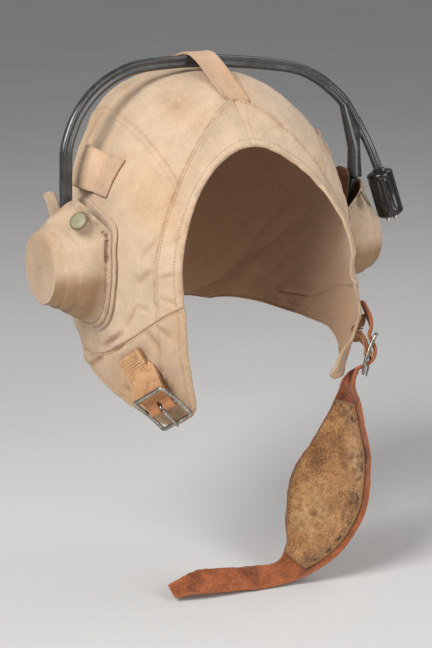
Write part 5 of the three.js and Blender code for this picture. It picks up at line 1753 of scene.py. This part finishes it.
def strap_table():
    left = BUCKLES["left"]
    end = (-0.45, -0.88, 0.15)
    bar = tuple(-left["bar"])
    rows = [(0, (80.8, -67.6, -143.6), end, 13, 0), (0.035, (83.6, -70.9, -152.4), end, STRAP_WIDTH, 0)]
    weave = ((0.075, 16, -UNDER - 0.4), (0.1, 11.3, -UNDER - 0.15), (0.14, 4.8, 3), (0.17, -0.5, 4.5),
             (0.2, -5.6, 2.8), (0.235, -11.3, -UNDER - 0.15), (0.265, -16, -UNDER - 0.6))
    rows += [(at, tuple(at_buckle(left, 0.0, up, out)), bar, STRAP_WIDTH, 0) for at, up, out in weave]
    rows += [
        (0.32, (72.6, -67, -202.5), (0.1, -0.99, 0.12), STRAP_WIDTH, 1),
        (0.39, (70.3, -66.9, -220.2), (0.36, -0.93, 0.13), 29, 4),
        (0.47, (68.3, -64.7, -243), (0.48, -0.88, 0.1), 44, 8),
        (0.55, (61.8, -62, -266.4), (0.55, -0.82, 0.17), 55.5, 9),
        (0.64, (54.2, -61, -290), (0.55, -0.81, 0.2), 49, 8),
        (0.71, (44.6, -61, -307.4), (0.49, -0.86, 0.1), 33, 4),
        (0.77, (30.5, -61, -316.6), (0.14, -0.93, -0.35), 19, 1),
        (0.84, (11, -60, -317.6), (-0.26, -0.79, -0.56), 16.5, 0),
        (0.9, (-10.7, -58, -316), (-0.35, -0.77, -0.53), 16.5, 0),
        (0.95, (-31, -56, -314.6), (-0.39, -0.76, -0.53), 17, 0),
        (1, (-49, -53.5, -318), (-0.15, -0.87, -0.47), 10, 0),
    ]
    flat = [(at, *middle, *across, width, bowl) for at, middle, across, width, bowl in rows]
    return table("at x y z acrossX acrossY acrossZ width bowl", *flat)


STRAP_ROWS = strap_table()
LINING = {
    "thick": 2.0, "width": 50, "from": 0.3455, "to": 0.738, "left": 0.9, "right": 4.6, "offset": 2.6,
    "rows": (0.045, 0.955), "nap": ((0.34, 1.1, 61), (0.2, 3.4, 62), (0.6, 11, 63)),
}


def strap_stations(s):
    middle = np.stack([column(STRAP_ROWS, name, s) for name in "xyz"], -1)
    across = np.stack([column(STRAP_ROWS, "across" + name, s) for name in "XYZ"], -1)
    return middle, unit(across), column(STRAP_ROWS, "width", s), column(STRAP_ROWS, "bowl", s)


def chin_strap():
    s = np.linspace(0, 1, 520)
    middle, across, width, bowl = strap_stations(s)
    c = lerp(-1, 1, graded(40, 0.7, 4))[None, :] * np.ones((len(s), 1))
    gone = gone_along(middle)
    flat = np.stack([gone[:, None] + 0 * c, c * width[:, None] / 2, 0 * c], -1)
    ragged = layered(flat[:, :1] * vec(1, 0, 0), STRAP_RAGGED)[:, 0]
    rough = layered(flat, STRAP_ROUGH)
    in_buckle = plateau(s, *IN_BUCKLE)[:, None]
    rough = rough * (1 - PRESSED * in_buckle)
    half = width / 2 + ragged * (1 - in_buckle[:, 0])
    shape, source, depth = wall(*ribbon(middle, across, half, c, STRAP, bowl, 0.0, rough))
    edge = np.where(depth == 0.5, 1.0, bell((1 - np.abs(c.reshape(-1)[source])) * 9, 0.7) * 0.35)
    piece("chin_strap", shape, SUEDE, ["chin_strap"], marks={"edge": edge})


# Faded places on the lining: how far along and what share across it each lies, each with its reach.
FADED = ((34, 16, 0.78, 0.13), (76, 17, 0.3, 0.3))


def chin_cup_lining():
    s = np.linspace(LINING["from"], LINING["to"], 170)
    middle, across, width, bowl = strap_stations(s)
    share = graded(52, 0.7, 5, 0.8)[None, :]
    half = width[:, None] / 2
    c = lerp(LINING["left"] / half - 1, 1 - LINING["right"] / half, share)
    gone = gone_along(middle)
    flat = np.stack([gone[:, None] + 0 * c, c * half, 0 * c], -1)
    sides = [share * LINING["width"] + 0 * c, (1 - share) * LINING["width"] + 0 * c]
    edge = np.minimum.reduce([*sides, flat[..., 0], gone[-1] - flat[..., 0]])
    nap = layered(flat, LINING["nap"])
    nap = nap * (0.35 + 0.65 * smooth(edge / 3)) - 0.9 * smooth(1 - edge / 2.2)
    place = (middle, across, width / 2, c, LINING["thick"], bowl, LINING["offset"])
    shape, source, _ = wall(*ribbon(*place, nap))
    # Worn patches that are also painted shade, dark towards one side edge and the top end of the lining.
    rubbed_and_shaded = smooth(1.1 - (1 - share) * 3.2) + 0.8 * smooth(1 - flat[..., 0] / 26) + 0 * c
    faded = sum(bell(flat[..., 0] - at, long) * bell(share - over, wide) for at, long, over, wide in FADED)
    faded = faded * (0.45 + 0.55 * soft_noise(flat, 2.2, 64))
    marks = {"edge": bell(edge, 1.2), "rubbed_and_shaded": clamp01(rubbed_and_shaded), "blush": clamp01(faded)}
    marks = {name: values.reshape(-1)[source] for name, values in marks.items()}
    piece("chin_cup_lining", shape, CHAMOIS, ["chin_cup_lining"], marks=marks)
    lines = []
    top, _ = ribbon(*place, nap * 0 - 0.3)
    for row in LINING["rows"]:
        k = int(np.argmin(np.abs(share[0] - row)))
        lines.append(resampled(top[4:-4, k], 0.5))
    sew("lining_stitching", lines, 2.6, DARK_THREAD, width=0.6, seed=14)


chin_strap()
chin_cup_lining()

# Floor, light and camera.
FLOOR = {"z": -324.0, "radius": 9000, "sides": 96}
LIT = (0, 0, -150)  # what the lights point at
VIEW = {
    "target": (9.57, -5.42, -162.5), "azimuth": -29.5, "elevation": 13.0, "distance": 1200.0,
    "lens": 103.36, "sensor": 36,
}


def floor():
    around = full_turn(FLOOR["sides"])
    ring = np.stack([np.cos(around), np.sin(around), np.zeros(len(around))], -1)
    points = ring * FLOOR["radius"] + vec(0, 0, FLOOR["z"])
    mesh = add_mesh("floor", points, [], [list(range(len(points)))])
    f = Finish("floor_paper", 0.8)
    f.colour(f.ramp(f.noise(f.place(), 300, 2), (0.3, (222, 221, 219)), (0.7, (226, 225, 223))))
    mesh.materials.append(f.material)
    obj = add_object("floor", mesh)


def aim(obj, place, direction):
    """Puts a light or a camera in its place, looking along a direction."""
    obj.location = place * MM
    obj.rotation_mode = "QUATERNION"
    obj.rotation_quaternion = direction.to_track_quat("-Z", "Y")


def area_light(name, place, power, size):
    data = bpy.data.lights.new(name, "AREA")
    data.energy = power
    data.size = size * MM
    aim(add_object(name, data), Vector(place), Vector(LIT) - Vector(place))


def studio():
    area_light("key", (-1220, -540, 900), 24, 700)
    area_light("fill", (380, -1680, 560), 12, 1000)
    area_light("top", (900, -50, 1050), 3.5, 700)
    world = bpy.data.worlds.new("studio")
    world.use_nodes = True
    sky = world.node_tree.nodes["Background"].inputs
    sky["Color"].default_value = srgb(226, 226, 228)
    sky["Strength"].default_value = 0.3
    bpy.context.scene.world = world


def camera():
    data = bpy.data.cameras.new("camera")
    data.lens = VIEW["lens"]
    data.sensor_width = VIEW["sensor"]
    data.clip_end = 100
    azimuth, elevation = math.radians(VIEW["azimuth"]), math.radians(VIEW["elevation"])
    back = Vector((
        math.sin(azimuth) * math.cos(elevation),
        -math.cos(azimuth) * math.cos(elevation),
        math.sin(elevation),
    ))
    obj = add_object("camera", data)
    aim(obj, Vector(VIEW["target"]) + back * VIEW["distance"], -back)
    bpy.context.scene.camera = obj


floor()
studio()
camera()
bpy.context.scene.view_settings.view_transform = "Standard"
